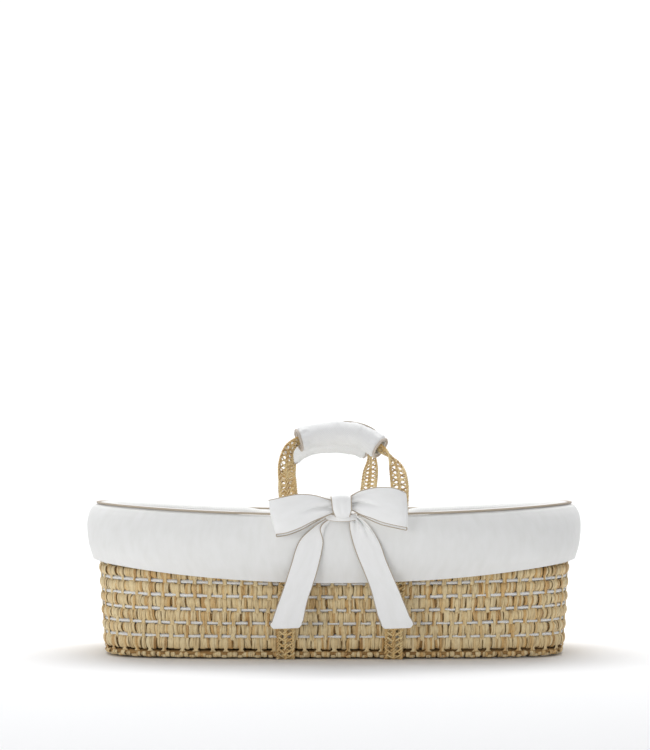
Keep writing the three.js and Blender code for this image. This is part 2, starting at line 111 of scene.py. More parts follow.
# Bows, as seen from their own side; the back one is tied a little lower.
BOW_X, BOW_Y = 11.0, -240.0
TAIL_Y = -228.0
BOW_HEIGHTS = {"front": 248.0, "back": 240.0}
RIBBON_WIDTH = 50.0
RIBBON_THICKNESS = 1.4


# Small sums

def lerp(a, b, share):
    return a + (b - a) * share


def smoothstep(x, start, end):
    share = np.clip((np.asarray(x, float) - start) / (end - start), 0, 1)
    return share * share * (3 - 2 * share)


def unit(vectors):
    return vectors / np.maximum(np.linalg.norm(vectors, axis=-1, keepdims=True), 1e-9)


def stacked(x, y, z=0.0):
    """Three measures as one: a point in space, or a place on the cloth."""
    return np.stack(np.broadcast_arrays(x, y, z), -1)


def walk(points):
    """How far along the line through some points each of them lies."""
    return np.concatenate([[0], np.cumsum(np.linalg.norm(np.diff(points, axis=0), axis=1))])


def soft_noise(points, size, seed):
    """Smooth noise from -1 to 1 whose lumps are about `size` across."""
    flat = np.asarray(points, float).reshape(-1, 3) / size + seed * 17.3
    values = [noise.noise(Vector(p)) for p in flat]
    return np.array(values).reshape(np.asarray(points).shape[:-1])


def spline(points, count):
    """Points spaced evenly in parameter along a smooth line through the given rows."""
    rows = np.asarray(points, float)
    padded = np.vstack([2 * rows[0] - rows[1], rows, 2 * rows[-1] - rows[-2]])
    t = np.linspace(0, len(rows) - 1, count)
    i = np.minimum(t.astype(int), len(rows) - 2)
    f = (t - i)[:, None]
    a, b, c, d = (padded[i + k] for k in range(4))
    return 0.5 * (2 * b + (c - a) * f + (2 * a - 5 * b + 4 * c - d) * f**2 + (3 * b - 3 * c + d - a) * f**3)


# Rings of the basket

def wall_share(height):
    """How far up the wall a height is, from 0 at its foot to 1 at the rim."""
    return (height - WALL_FOOT) / (RIM_HEIGHT - WALL_FOOT)


def plan_power(height):
    return lerp(FOOT_POWER, RIM_POWER, np.clip(wall_share(height), 0, 1))


def ring(angle, length, width, height, rise):
    """Points of an oval ring; the rim's rise towards the ends is shared by `rise`."""
    power = plan_power(height)
    cos, sin = np.cos(angle), np.sin(angle)
    reach = (np.abs(cos / length) ** power + np.abs(sin / width) ** power) ** (-1 / power)
    x, y = reach * cos, reach * sin
    z = height + rise * RIM_RISE * (x / RIM_HALF_LENGTH) ** 2
    return stacked(x, y, z)


def ring_frame(angle, length, width, height, rise):
    """A ring's points, and the level direction straight out of the ring at each."""
    points = ring(angle, length, width, height, rise)
    power = plan_power(height)
    x, y = points[..., 0] / length, points[..., 1] / width
    slope = [np.sign(x) * np.abs(x) ** (power - 1) / length, np.sign(y) * np.abs(y) ** (power - 1) / width]
    return points, unit(stacked(*slope))


def wall_coil_face(middle):
    """The wall at one coil: a place on it is an angle, a height over the coil's middle and how
    far out it stands."""
    share = wall_share(middle)
    spread = np.array([RIM_HALF_LENGTH - FOOT_HALF_LENGTH, RIM_HALF_WIDTH - FOOT_HALF_WIDTH])
    lean = spread / (RIM_HEIGHT - WALL_FOOT)
    length, width = np.array([FOOT_HALF_LENGTH, FOOT_HALF_WIDTH]) + spread * share

    def face(angle, across, out):
        points, away = ring_frame(angle, length, width, middle, share)
        leaning = lean[0] * away[..., 0] ** 2 + lean[1] * away[..., 1] ** 2
        stretch = 1 + RIM_RISE * (points[..., 0] / RIM_HALF_LENGTH) ** 2 / (RIM_HEIGHT - WALL_FOOT)
        return points + away * (out + leaning * across)[..., None] + UP * (across * stretch)[..., None]

    return face


def floor_coil_face(inset):
    """The floor's underside at one coil: across is outwards in plan, and out is down."""
    def face(angle, across, out):
        points, away = ring_frame(angle, FOOT_HALF_LENGTH - inset, FOOT_HALF_WIDTH - inset, FLOOR_MIDDLE, 0)
        return points + away * np.asarray(across)[..., None] - UP * np.asarray(out)[..., None]

    return face


def arc_angles(surface):
    """Turns a distance round a ring into its angle, and gives the ring's whole length."""
    angles = np.linspace(0, 2 * pi, 1441)
    lengths = walk(surface(angles, 0, 0 * angles))
    total = lengths[-1]
    return lambda s: np.interp(np.mod(s, total), lengths, angles) + 2 * pi * np.floor(s / total), total


# Mesh making

class Shell:
    """Gathers closed surfaces in millimetres. Each point keeps its place on the cloth or leaf:
    millimetres across, millimetres along, and a number of its own."""

    def __init__(self):
        self.points, self.places, self.faces, self.count = [], [], [], 0

    def _keep(self, points, place, faces):
        flat = points.reshape(-1, 3)
        a, b, c = (flat[faces[:, k]] for k in range(3))
        d = flat[faces[:, 3]]
        volume = np.sum(a * np.cross(b, c)) + np.sum(a * np.cross(c, d))
        if volume < 0:
            faces = faces[:, ::-1]
        self.points.append(flat)
        self.places.append(np.broadcast_to(place, points.shape).reshape(-1, 3))
        self.faces.append(faces + self.count)
        self.count += len(flat)
        return self

    def tubes(self, points, place, looped=False):
        """Tubes of shape (tubes, stations, points round, 3). An open tube's ends are closed."""
        tubes, stations, around = points.shape[:3]
        station = np.arange(stations if looped else stations - 1)
        i, j = np.meshgrid(station, np.arange(around), indexing="ij")
        after, beside = (i + 1) % stations, (j + 1) % around
        quads = [i * around + j, i * around + beside, after * around + beside, after * around + j]
        faces = np.stack(quads, -1).reshape(-1, 4)
        if not looped:
            ends = []
            for row, turn in ((0, -1), (stations - 1, 1)):
                for k in range((around - 1) // 2):
                    corners = [k, k + 1, around - 2 - k, around - 1 - k]
                    ends.append([row * around + corner for corner in corners][::turn])
            faces = np.vstack([faces, ends])
        offsets = np.arange(tubes)[:, None, None] * stations * around
        return self._keep(points, place, (faces[None] + offsets).reshape(-1, 4))

    def sheet(self, middle, thickness, place, looped=False):
        """A sheet of some thickness whose middle is a grid of points (along, across, 3)."""
        if looped:
            along = np.roll(middle, -1, 0) - np.roll(middle, 1, 0)
        else:
            along = np.gradient(middle, axis=0)
        normal = unit(np.cross(along, np.gradient(middle, axis=1)))
        half = normal * np.asarray(thickness)[..., None] / 2
        n, m = middle.shape[:2]
        upper = np.arange(n * m).reshape(n, m)
        lower = upper + n * m
        if looped:
            upper, lower = (np.vstack([rows, rows[:1]]) for rows in (upper, lower))

        def quads(a):
            return np.stack([a[:-1, :-1], a[1:, :-1], a[1:, 1:], a[:-1, 1:]], -1).reshape(-1, 4)

        def wall_between(a, b):
            return np.stack([a[:-1], b[:-1], b[1:], a[1:]], -1)

        faces = [quads(upper), quads(lower)[:, ::-1], wall_between(upper[:, -1], lower[:, -1])[:, ::-1],
                 wall_between(upper[:, 0], lower[:, 0])]
        if not looped:
            faces += [wall_between(upper[0], lower[0])[:, ::-1], wall_between(upper[-1], lower[-1])]
        points = np.concatenate([(middle + half).reshape(-1, 3), (middle - half).reshape(-1, 3)])
        place = np.broadcast_to(place, middle.shape).reshape(-1, 3)
        return self._keep(points, np.concatenate([place, place]), np.vstack(faces))

    def piece(self, name, material, body, slot, replaces=(), sharp=None):
        mesh = bpy.data.meshes.new(name)
        faces = np.vstack(self.faces)
        faces = [list(dict.fromkeys(face)) for face in faces.tolist()]
        mesh.from_pydata((np.vstack(self.points) * MM).tolist(), [], faces)
        mesh.polygons.foreach_set("use_smooth", np.ones(len(faces), bool))
        attribute = mesh.attributes.new("place", "FLOAT_VECTOR", "POINT")
        attribute.data.foreach_set("vector", np.vstack(self.places).astype(np.float32).ravel())
        if sharp:
            mesh.set_sharp_from_angle(angle=math.radians(sharp))
        mesh.materials.append(material)
        made = bpy.data.objects.new(name, mesh)
        bpy.context.scene.collection.objects.link(made)
        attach(made, body)
        if replaces:
            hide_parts(*replaces)
        return made


def cord_round(points, radius, sides=8, looped=False, up=(0, 0, 1)):
    """Section rings of a round cord along points, shaped for Shell.tubes."""
    points = np.asarray(points, float)
    if looped:
        tangent = unit(np.roll(points, -1, 0) - np.roll(points, 1, 0))
    else:
        tangent = unit(np.gradient(points, axis=0))
    across = unit(np.cross(np.broadcast_to(up, points.shape), tangent))
    normal = np.cross(tangent, across)
    turn = np.arange(sides) / sides * 2 * pi
    radius = np.broadcast_to(np.asarray(radius, float), (len(points),))[:, None, None]
    circle = np.cos(turn)[None, :, None] * across[:, None] + np.sin(turn)[None, :, None] * normal[:, None]
    return (points[:, None] + radius * circle)[None]


def add_cord(shell, points, radius, looped=False, up=(0, 0, 1), sides=8):
    """A sewn cord: its place runs along it, so its twill follows it round."""
    rings = cord_round(points, radius, sides, looped, up)
    around = np.arange(sides) * 2 * pi * np.max(radius) / sides
    return shell.tubes(rings, stacked(around, walk(points)[:, None])[None], looped)


# Materials

def srgb(code):
    """An sRGB hex colour as linear RGBA."""
    channels = [int(code[i:i + 2], 16) / 255 for i in (1, 3, 5)]
    linear = [c / 12.92 if c <= 0.04045 else ((c + 0.055) / 1.055) ** 2.4 for c in channels]
    return (*linear, 1.0)


def add(tree, kind, inputs=None, stops=(), **settings):
    """Adds a node; an input is a value or another node's output socket, and the stops are a colour
    ramp's, each a place and a hex colour."""
    node = tree.nodes.new("ShaderNode" + kind)
    for name, value in settings.items():
        setattr(node, name, value)
    for socket, value in (inputs or {}).items():
        if isinstance(value, bpy.types.NodeSocket):
            tree.links.new(value, node.inputs[socket])
        else:
            node.inputs[socket].default_value = value
    if stops:
        elements = node.color_ramp.elements
        while len(elements) < len(stops):
            elements.new(0.5)
        for element, (position, colour) in zip(elements, stops):
            element.position, element.color = position, srgb(colour)
    return node


MULTIPLIED = {"data_type": "RGBA", "blend_type": "MULTIPLY"}


def new_material(name, **constants):
    material = bpy.data.materials.new(name)
    material.use_nodes = True
    for socket, value in constants.items():
        surface = material.node_tree.nodes["Principled BSDF"]
        surface.inputs[socket.replace("_", " ")].default_value = value
    return material, material.node_tree


def finished(material, colour, height=None, strength=0.0, depth=0.0):
    """Gives a material its colour and its relief, which is `depth` metres deep."""
    tree = material.node_tree
    surface = tree.nodes["Principled BSDF"]
    tree.links.new(colour, surface.inputs["Base Color"])
    if height:
        bump = add(tree, "Bump", {"Strength": strength, "Distance": depth, "Height": height})
        tree.links.new(bump.outputs[0], surface.inputs["Normal"])
    return material


def place_on_piece(tree, across=0.0, along=0.0, own=0.0):
    """The piece's own millimetres, scaled across and along, and the number of its own."""
    place = add(tree, "Attribute", attribute_name="place", attribute_type="GEOMETRY")
    scaled = {0: place.outputs["Vector"], 1: (across, along, own)}
    return add(tree, "VectorMath", scaled, operation="MULTIPLY").outputs[0]


def palm_leaf(name, pale, middle, ochre, dark, roughness, gloss):
    """Dried palm leaf, split and laid flat: fine fibres along it, a low waxy gloss, and every
    strip its own shade of straw, a few of them gone orange or dark."""
    material, tree = new_material(name, Roughness=roughness, Specular_IOR_Level=gloss)
    # Fibres about 0.5 mm wide and many times as long, and ribs 2 mm wide, where the leaf is creased; the
    # creases are painted darker, as painted shade.
    fibre = add(tree, "TexNoise", {"Vector": place_on_piece(tree, 1.9, 0.09, 31.0), "Scale": 1.0,
                                   "Detail": 3.0, "Roughness": 0.6}).outputs["Fac"]
    rib = add(tree, "TexNoise", {"Vector": place_on_piece(tree, 0.55, 0.03, 13.0), "Scale": 1.0,
                                 "Detail": 1.0}).outputs["Fac"]
    own = add(tree, "TexWhiteNoise", {"Vector": place_on_piece(tree, own=7.7)}, noise_dimensions="3D")
    shade = add(tree, "ValToRGB", {"Fac": own.outputs["Value"]},
                [(0.0, dark), (0.12, ochre), (0.3, middle), (0.8, pale), (1.0, middle)]).outputs[0]
    grain = add(tree, "ValToRGB", {"Fac": fibre},
                [(0.3, "#a98c5c"), (0.48, "#ffffff"), (0.62, "#ffffff"), (0.75, "#e8cf98")]).outputs[0]
    # Painted shade: the leaf is coloured darker in the low creases between its ribs.
    creases = add(tree, "ValToRGB", {"Fac": rib}, [(0.34, "#8d6f45"), (0.46, "#ffffff")]).outputs[0]
    streaked = add(tree, "Mix", {0: 0.55, 6: shade, 7: grain}, **MULTIPLIED).outputs[2]
    colour = add(tree, "Mix", {0: 0.5, 6: streaked, 7: creases}, **MULTIPLIED).outputs[2]
    relief = add(tree, "Math", {0: fibre, 1: rib}, operation="ADD").outputs[0]
    return finished(material, colour, relief, 0.55, 0.0006)


def palm_core(name):
    """The bundle of rushes inside each coil, seen between the wraps: darker, grain lengthwise."""
    material, tree = new_material(name, Roughness=0.85)
    stalks = add(tree, "TexNoise", {"Vector": place_on_piece(tree, 0.6, 0.02, 1.0), "Scale": 1.0,
                                    "Detail": 3.0}).outputs["Fac"]
    colour = add(tree, "ValToRGB", {"Fac": stalks},
                 [(0.3, "#755834"), (0.55, "#a6804c"), (0.75, "#c49d64")])
    return finished(material, colour.outputs[0], stalks, 0.6, 0.0008)


def woven_cotton(name, colour, thread, roughness, sheen, relief):
    """Plain or sateen cotton: a fine crossing of threads, drawn `thread` mm apart, which is
    coarser than the real 0.3 mm so that it shows, and a soft bloom at grazing angles."""
    material, tree = new_material(name, Roughness=roughness, Sheen_Weight=sheen, Sheen_Roughness=0.5)
    warp, weft = (
        add(tree, "TexWave", {"Vector": place_on_piece(tree, **{way: 1.0 / thread}), "Scale": 0.31,
                              "Distortion": 0.4}, bands_direction=axis).outputs["Fac"]
        for way, axis in (("across", "X"), ("along", "Y")))
    crossing = add(tree, "Math", {0: warp, 1: weft}, operation="MULTIPLY")
    slub = add(tree, "TexNoise", {"Vector": place_on_piece(tree, 0.08, 0.03, 3.0), "Scale": 1.0,
                                  "Detail": 3.0})
    cloudy = add(tree, "ValToRGB", {"Fac": slub.outputs["Fac"]}, [(0.3, "#fafaf9"), (0.65, "#ffffff")])
    tinted = add(tree, "Mix", {0: 1.0, 6: srgb(colour), 7: cloudy.outputs[0]}, **MULTIPLIED)
    return finished(material, tinted.outputs[2], crossing.outputs[0], relief, 0.0003)


def pique_cotton(name, colour, diamond):
    """Cotton pique: small raised diamonds `diamond` mm apart, with shade painted into the dips between
    them.
    """
    material, tree = new_material(name, Roughness=0.9, Sheen_Weight=0.15, Sheen_Roughness=0.5)
    split = add(tree, "SeparateXYZ", {0: place_on_piece(tree, 1.0, 1.0)})
    waves = []
    for operation in ("ADD", "SUBTRACT"):
        diagonal = add(tree, "Math", {0: split.outputs[0], 1: split.outputs[1]}, operation=operation)
        turned = add(tree, "Math", {0: diagonal.outputs[0], 1: pi / diamond}, operation="MULTIPLY")
        wave = add(tree, "Math", {0: turned.outputs[0]}, operation="SINE")
        waves.append(add(tree, "Math", {0: wave.outputs[0]}, operation="ABSOLUTE").outputs[0])
    raised = add(tree, "Math", {0: waves[0], 1: waves[1]}, operation="MULTIPLY").outputs[0]
    # Painted shade: the cloth is coloured darker where the diamonds dip.
    painted_hollow_shade = add(tree, "ValToRGB", {"Fac": raised}, [(0.0, "#e4e4e4"), (0.25, "#ffffff")])
    tinted = add(tree, "Mix", {0: 0.8, 6: srgb(colour), 7: painted_hollow_shade.outputs[0]}, **MULTIPLIED)
    return finished(material, tinted.outputs[2], raised, 0.7, 0.0005)


def bias_binding(name, colour, shadow):
    """Beige cotton cut on the bias round a cord: slanting twill 1.2 mm apart."""
    material, tree = new_material(name, Roughness=0.85, Sheen_Weight=0.2, Sheen_Roughness=0.5)
    twill = add(tree, "TexWave", {"Vector": place_on_piece(tree, 1.0, 1.0), "Scale": 0.26,
                                  "Distortion": 0.3}, bands_direction="DIAGONAL").outputs["Fac"]
    tone = add(tree, "ValToRGB", {"Fac": twill}, [(0.0, shadow), (0.6, colour)])
    return finished(material, tone.outputs[0], twill, 0.5, 0.0003)


def chevron_weave(name):
    """Jacquard braid: raised zigzags of greige thread on a white ground. The third number of the
    braid's place is 1 on a zigzag and 0 on the ground."""
    material, tree = new_material(name, Roughness=0.8, Sheen_Weight=0.15)
    split = add(tree, "SeparateXYZ", {0: place_on_piece(tree, own=1.0)})
    dyed = add(tree, "ValToRGB", {"Fac": split.outputs[2]}, [(0.3, "#f3f1ec"), (0.7, "#bdb4a6")])
    threads = add(tree, "TexWave", {"Vector": place_on_piece(tree, 1.0), "Scale": 0.42, "Distortion": 0.5},
                  bands_direction="X").outputs["Fac"]
    tone = add(tree, "ValToRGB", {"Fac": threads}, [(0.0, "#dedede"), (0.5, "#ffffff")])
    woven = add(tree, "Mix", {0: 0.7, 6: dyed.outputs[0], 7: tone.outputs[0]}, **MULTIPLIED)
    return finished(material, woven.outputs[2], threads, 0.6, 0.0003)


def covered_stud(name):
    """Press stud cap in matte beige plastic: smooth, with a faint mottle."""
    material, tree = new_material(name, Roughness=0.5, Specular_IOR_Level=0.4)
    grain = add(tree, "TexNoise", {"Vector": place_on_piece(tree, 0.8, 0.8, 1.0), "Scale": 1.0,
                                   "Detail": 4.0})
    tone = add(tree, "ValToRGB", {"Fac": grain.outputs["Fac"]}, [(0.3, "#b3a898"), (0.7, "#c9beae")])
    return finished(material, tone.outputs[0])


def cut_foam(name):
    """Cream polyurethane foam: open cells about 1 mm across."""
    material, tree = new_material(name, Roughness=0.95)
    position = add(tree, "TexCoord").outputs["Object"]
    cells = add(tree, "TexVoronoi", {"Vector": position, "Scale": 900.0}).outputs["Distance"]
    tone = add(tree, "ValToRGB", {"Fac": cells}, [(0.0, "#cfc6a6"), (0.6, "#efe8cf")])
    return finished(material, tone.outputs[0], cells, 0.6, 0.0006)


PALM_WRAP = palm_leaf("palm_leaf_wrap", "#efddb2", "#e7cf9d", "#d9b273", "#c39a62", 0.55, 0.4)
PALM_BRAID = palm_leaf("palm_leaf_braid", "#f3e0ae", "#e5c485", "#cfa563", "#a87d46", 0.42, 0.6)
PALM_CORE = palm_core("palm_core")
SATEEN = woven_cotton("cotton_sateen", "#f2f2f0", 0.8, 0.75, 0.2, 0.25)
# Painted light: the bows' ribbon is the cover's sateen coloured whiter, to make up for the light that the
# bow and its tails miss.
BRIGHTENED_RIBBON = woven_cotton("ribbon_sateen_brightened", "#fafaf9", 0.8, 0.75, 0.2, 0.25)
SHEETING = woven_cotton("sheet_cotton", "#f0f0ee", 1.0, 0.85, 0.15, 0.3)
PIQUE = pique_cotton("cotton_pique", "#f3f3f1", 3.4)
PIPING = bias_binding("beige_bias_piping", "#c4b7a5", "#a0917d")
SOFT_PIPING = bias_binding("pale_bias_piping", "#d8cdc1", "#b9ab9c")
EDGING = bias_binding("fine_bias_edging", "#c3b5a2", "#9f907d")
CHEVRON = chevron_weave("chevron_jacquard")
STUD = covered_stud("matte_beige_stud")
FOAM = cut_foam("cut_foam")
# Painted light: the grips' padding is the cover's pique coloured whiter, standing in for the stronger light
# that falls on the grips.
BRIGHTENED_GRIP_PIQUE = pique_cotton("cotton_pique_grip_brightened", "#fafaf9", 3.0)


# The woven basket

# A leaf strip's section: places across it from -1 to 1, and the shares of its thickness and of its
# crown that each stands off what it lies on.
LEAF_ACROSS = np.array([-1.0, -0.6, 0.0, 0.6, 1.0, 0.7, 0.0, -0.7])
LEAF_THICK = np.array([0.25, 1, 1, 1, 0.25, 0, 0, 0])
LEAF_CROWN = np.array([0, 0.7, 1, 0.7, 0, 0, 0, 0])
WRAP_LEAF = (0.7, 0.42)
STITCH_LEAF = (0.8, 0.75)
WRAPS_PER_PERIOD = 2
# The half height and half thickness of a coil, mm.
WALL_COIL, FLOOR_COIL = (6.9, 5.6), (7.6, 5.2)
FOOT_COIL_HALF, RIM_COIL_HALF = 8.4, 8.8
WRAPPED, WRAPPED_OVER = (-105, 105), (-105, 200)


def lay_strips(shell, surface, angle_at, along, across, out, tip, widths, seeds, leaf):
    """Leaf strips, each laid through its own stations; `tip` is how far its face has turned over."""
    sides, off = LEAF_ACROSS, LEAF_THICK * leaf[0] + LEAF_CROWN * leaf[1]
    s = along[..., None] + sides * widths[..., None] / 2
    u = np.broadcast_to(across, along.shape)[..., None] + off * np.sin(tip)[..., None]
    o = np.broadcast_to(out, along.shape)[..., None] + off * np.cos(tip)[..., None]
    points = surface(angle_at(s), u, o)
    steps = np.diff(points[:, :, 2], axis=1, prepend=points[:, :1, 2])
    length = np.cumsum(np.linalg.norm(steps, axis=-1), 1)
    shell.tubes(points, stacked(sides * widths[..., None] / 2, length[..., None], seeds[:, None, None]))


def coil_row(surface, half, depth, sweep, below, rng):
    """One coil: its core, the leaf wraps round it and the stitches that bind it to the next.
    `sweep` is how far round it the wraps go, in degrees, and `below` is the next coil's distance
    and half height, or None."""
    core, leaves = Shell(), Shell()
    angle_at, total = arc_angles(surface)
    turn = np.linspace(0, 2 * pi, 12, endpoint=False)
    lengthwise = np.linspace(0, total, 360, endpoint=False)[:, None]
    rings = surface(angle_at(lengthwise), (half - 0.6) * np.sin(turn), -0.8 + (depth - 0.9) * np.cos(turn))
    core.tubes(rings[None], stacked(turn * half, lengthwise, total)[None], looped=True)

    count = int(round(total / WRAP_PERIOD))
    period = total / count
    start = (np.arange(count) + rng.uniform(-0.12, 0.12, count)) * period + rng.uniform(0, period)
    stitch_width = rng.uniform(6.8, 9.2, count)
    free = np.diff(np.append(start, start[0] + total)) - stitch_width * 0.9
    low, high = np.radians(sweep)
    # Where a wall coil's bundle runs fuller, its wraps close in the slits beside it.
    marks = rng.uniform(-0.6, 1.9, count // 3 + 2) * (half == WALL_COIL[0])
    fuller = np.interp(np.arange(count), np.linspace(0, count, len(marks)), marks)[:, None]
    width = free / WRAPS_PER_PERIOD
    tip = np.linspace(high, low, 9)
    share = np.linspace(0, 1, len(tip))
    for wrap in range(WRAPS_PER_PERIOD):
        centre = start + stitch_width * 0.45 + width * (wrap + 0.5)
        top = centre + rng.normal(0, 1.3, count)
        bottom = centre + rng.normal(0, 1.3, count)
        along = top[:, None] + (bottom - top)[:, None] * share
        spread = rng.uniform(0.92, 1.16, (count, 1)) * width[:, None]
        waist = 1 + rng.uniform(-0.3, 0.08, (count, 1)) * np.sin(pi * share) ** 2
        flare = 1 + rng.uniform(-0.3, 0.3, (count, 1)) * (share - 0.5)
        lift = rng.uniform(0, 0.6, (count, 1))
        across = (half + fuller + rng.uniform(-1.1, 1.2, (count, 1))) * np.sin(tip)
        out = 0.3 + lift + (depth - 0.9) * np.cos(tip)
        lay_strips(leaves, surface, angle_at, along, across, out, tip, spread * waist * flare,
                   rng.uniform(0, 900, count), WRAP_LEAF)
    if below:
        distance, lower_half = below
        # A stitch goes over its own coil, across the slit and behind the top of the next coil's wraps.
        over = np.radians([high * 57.3, 60, 30, 0, -30, -55])
        across = np.append(half * np.sin(over), [-half * 0.97, -(half + distance - lower_half) / 2,
                                                 lower_half * 0.94 - distance, lower_half * 0.6 - distance])
        out = np.append(0.95 + (depth - 0.9) * np.cos(over), [3.7, 3.5, 3.7, 3.0])
        tips = np.append(over, np.radians([-40, 0, 20, 20]))
        share = np.linspace(0, 1, len(out))
        lean = rng.normal(0, 1.6, (count, 1))
        along = start[:, None] + lean * (share - 0.3)
        taper = np.interp(share, [0, 0.3, 0.6, 0.72, 0.84, 1], [1.0, 1.45, 1.25, 0.7, 0.85, 1.7])
        lay_strips(leaves, surface, angle_at, along, across, out, tips, stitch_width[:, None] * taper,
                   rng.uniform(0, 900, count), STITCH_LEAF)
    return core, leaves


def weave_wall():
    rng = np.random.default_rng(11)
    for index in range(1, COIL_COUNT + 1):
        middle = WALL_FOOT + COIL_PITCH * (index - 0.5)
        name = "rim_coil" if index == COIL_COUNT else f"wall_coil_{index:02d}"
        below = (COIL_PITCH, WALL_COIL[0]) if index > 1 else (middle - FLOOR_MIDDLE, WALL_COIL[1])
        sweep = WRAPPED_OVER if index == COIL_COUNT else WRAPPED
        half = {1: FOOT_COIL_HALF, COIL_COUNT: RIM_COIL_HALF}.get(index, WALL_COIL[0])
        core, leaves = coil_row(wall_coil_face(middle), half, WALL_COIL[1], sweep, below, rng)
        core.piece(name + "_core", PALM_CORE, "basket", "palm_coil")
        leaves.piece(name + "_wraps", PALM_WRAP, "basket", "palm_coil", [name])


def weave_floor():
    """Flat coils, one inside the other; the outermost one's wraps turn up round its edge."""
    rng = np.random.default_rng(23)
    core, leaves = Shell(), Shell()
    rings = int(FOOT_HALF_WIDTH // COIL_PITCH)
    for index in range(rings):
        inset = 4 + COIL_PITCH * index
        last = index == rings - 1
        sweep = WRAPPED_OVER if index == 0 else WRAPPED
        below = None if last else (COIL_PITCH, FLOOR_COIL[0])
        made = coil_row(floor_coil_face(inset), *FLOOR_COIL, sweep, below, rng)
        for kept, part in zip((core, leaves), made):
            kept.points += part.points
            kept.places += part.places
            kept.faces += [faces + kept.count for faces in part.faces]
            kept.count += part.count
    core.piece("basket_floor_core", PALM_CORE, "basket", "palm_coil")
    leaves.piece("basket_floor_wraps", PALM_WRAP, "basket", "palm_coil", ["basket_floor"])


# Lace braid

class BraidPath:
    """A line through space with a side and a face direction at each place along it."""

    def __init__(self, middles, sides, widths):
        self.middles = np.asarray(middles, float)
        self.at = walk(self.middles)
        tangent = unit(np.gradient(self.middles, self.at, axis=0))
        sides = np.asarray(sides, float)
        self.sides = unit(sides - np.sum(sides * tangent, -1, keepdims=True) * tangent)
        self.faces = np.cross(tangent, self.sides)
        self.widths = np.asarray(widths, float) / BRAID_WIDTH

    def _read(self, rows, s):
        return np.stack([np.interp(s, self.at, rows[:, k]) for k in range(3)], -1)

    def point(self, s, across, off):
        width = np.interp(s, self.at, self.widths)
        return self._read(self.middles, s) + (across * width)[..., None] * self._read(self.sides, s) \
            + np.asarray(off)[..., None] * self._read(self.faces, s)

    def strands(self, shell, s, across, off, width, thickness, seeds, sides=6):
        """Flat or round strands through stations (strands, stations)."""
        middle = self.point(s, across, off)
        tangent = unit(np.gradient(middle, axis=1))
        face = self._read(self.faces, s)
        beside = unit(np.cross(face, tangent))
        up = np.cross(tangent, beside)
        turn = np.arange(sides) / sides * 2 * pi
        section = (width / 2 * np.cos(turn))[:, None] * beside[:, :, None] \
            + (thickness / 2 * np.sin(turn))[:, None] * up[:, :, None]
        shell.tubes(middle[:, :, None] + section,
                    stacked(np.cos(turn) * width / 2, s[..., None], seeds[:, None, None]))


def lace_braid(shell, path, start, end, rng):
    """Twisted edges and a twisted middle, joined by slanting strands with holes between them."""
    length = end - start
    steps = int(length / 1.3)
    s = np.linspace(start, end, steps)
    for centre, radius in ((-12.3, 1.5), (12.3, 1.5), (0.0, 1.7)):
        for phase in (0, pi):
            turn = s / TWIST_PITCH * 2 * pi + phase
            across = centre + 1.35 * np.cos(turn)
            off = 1.0 * np.sin(turn)
            # A strand is spliced every few centimetres, so its shade changes.
            for first in range(0, steps - 1, 24):
                cut = slice(first, min(first + 26, steps))
                path.strands(shell, s[None, cut], across[None, cut], off[None, cut],
                             2 * radius, 1.7 * radius, rng.uniform(0, 900, 1))
    count = int((length - 10) / LACE_PITCH)
    first = start + 1 + LACE_PITCH * np.arange(count)
    share = np.linspace(0, 1, 6)
    for side in (-1, 1):
        for over in (0, 1):
            s = first[:, None] + 8.2 * share + over * 1.4 + rng.normal(0, 0.35, (count, 1))
            across = side * (1.0 + 11.4 * share if over else 12.6 - 11.8 * share)
            off = 0.9 * np.sin(pi * share) * (-1 if over else 1)
            ones = np.ones((count, 1))
            path.strands(shell, s, across * ones, off * ones, 3.3, 1.6, rng.uniform(0, 900, count))


def strap_path(front_x, front_foot, back_foot, back_x):
    """Down the front wall, under the floor and up the back wall."""
    out = COIL_OUT + 3.6
    under = 1.5

    def side(sign, top_x, foot_x):
        share = np.linspace(0, 1, 40)
        height = lerp(HINGE_HEIGHT - 3.4, WALL_FOOT - 2, share)
        x = lerp(top_x, foot_x, smoothstep(share, 0, 1))
        share_up = wall_share(np.minimum(height, RIM_HEIGHT))
        width = lerp(FOOT_HALF_WIDTH, RIM_HALF_WIDTH, share_up) + out
        length = lerp(FOOT_HALF_LENGTH, RIM_HALF_LENGTH, share_up) + out
        power = plan_power(height)
        y = width * (1 - np.abs(x / length) ** power) ** (1 / power)
        down = stacked(x, sign * y, height)
        turn = np.linspace(0.1, 1, 6) * pi / 2
        bend = stacked(foot_x, sign * (y[-1] - 9 * (1 - np.cos(turn))),
                       height[-1] - (height[-1] - under) * np.sin(turn))
        return np.vstack([down, bend])

    front, back = side(-1, front_x, front_foot), side(1, back_x, back_foot)[::-1]
    share = np.linspace(0, 1, 42)[1:-1, None]
    under_floor = front[-1] + (back[0] - front[-1]) * share
    middles = np.vstack([front, under_floor, back])
    sides = np.broadcast_to([1.0, 0, 0], middles.shape)
    return BraidPath(middles, sides, np.full(len(middles), BRAID_WIDTH))


def make_straps():
    rng = np.random.default_rng(31)
    front, back = HANDLES["front"], HANDLES["back"]
    for name, corners in (("strap_left", (front[0], -79, -86, -back[1])),
                          ("strap_right", (front[1], 95, 72, -back[0]))):
        shell, path = Shell(), strap_path(*corners)
        lace_braid(shell, path, 0.5, path.at[-1] - 0.5, rng)
        shell.piece(name + "_braid", PALM_BRAID, "basket", "palm_braid", [name])


# Handles

NORMAL = np.array([0.0, 1.0, 0.0])


def handle_points(side):
    left, right, _ = HANDLES[side]
    line = [(left, 0), (left - 4, 48), (left - 7, 92), (min(left - 2, -66), 124), (-57, 142), (-30, 152),
            (8, 157), (45, 150), (74, 127), (right - 7, 104), (right + 2, 60), (right, 0)]
    return np.array([(x, 0, z) for x, z in line], float)


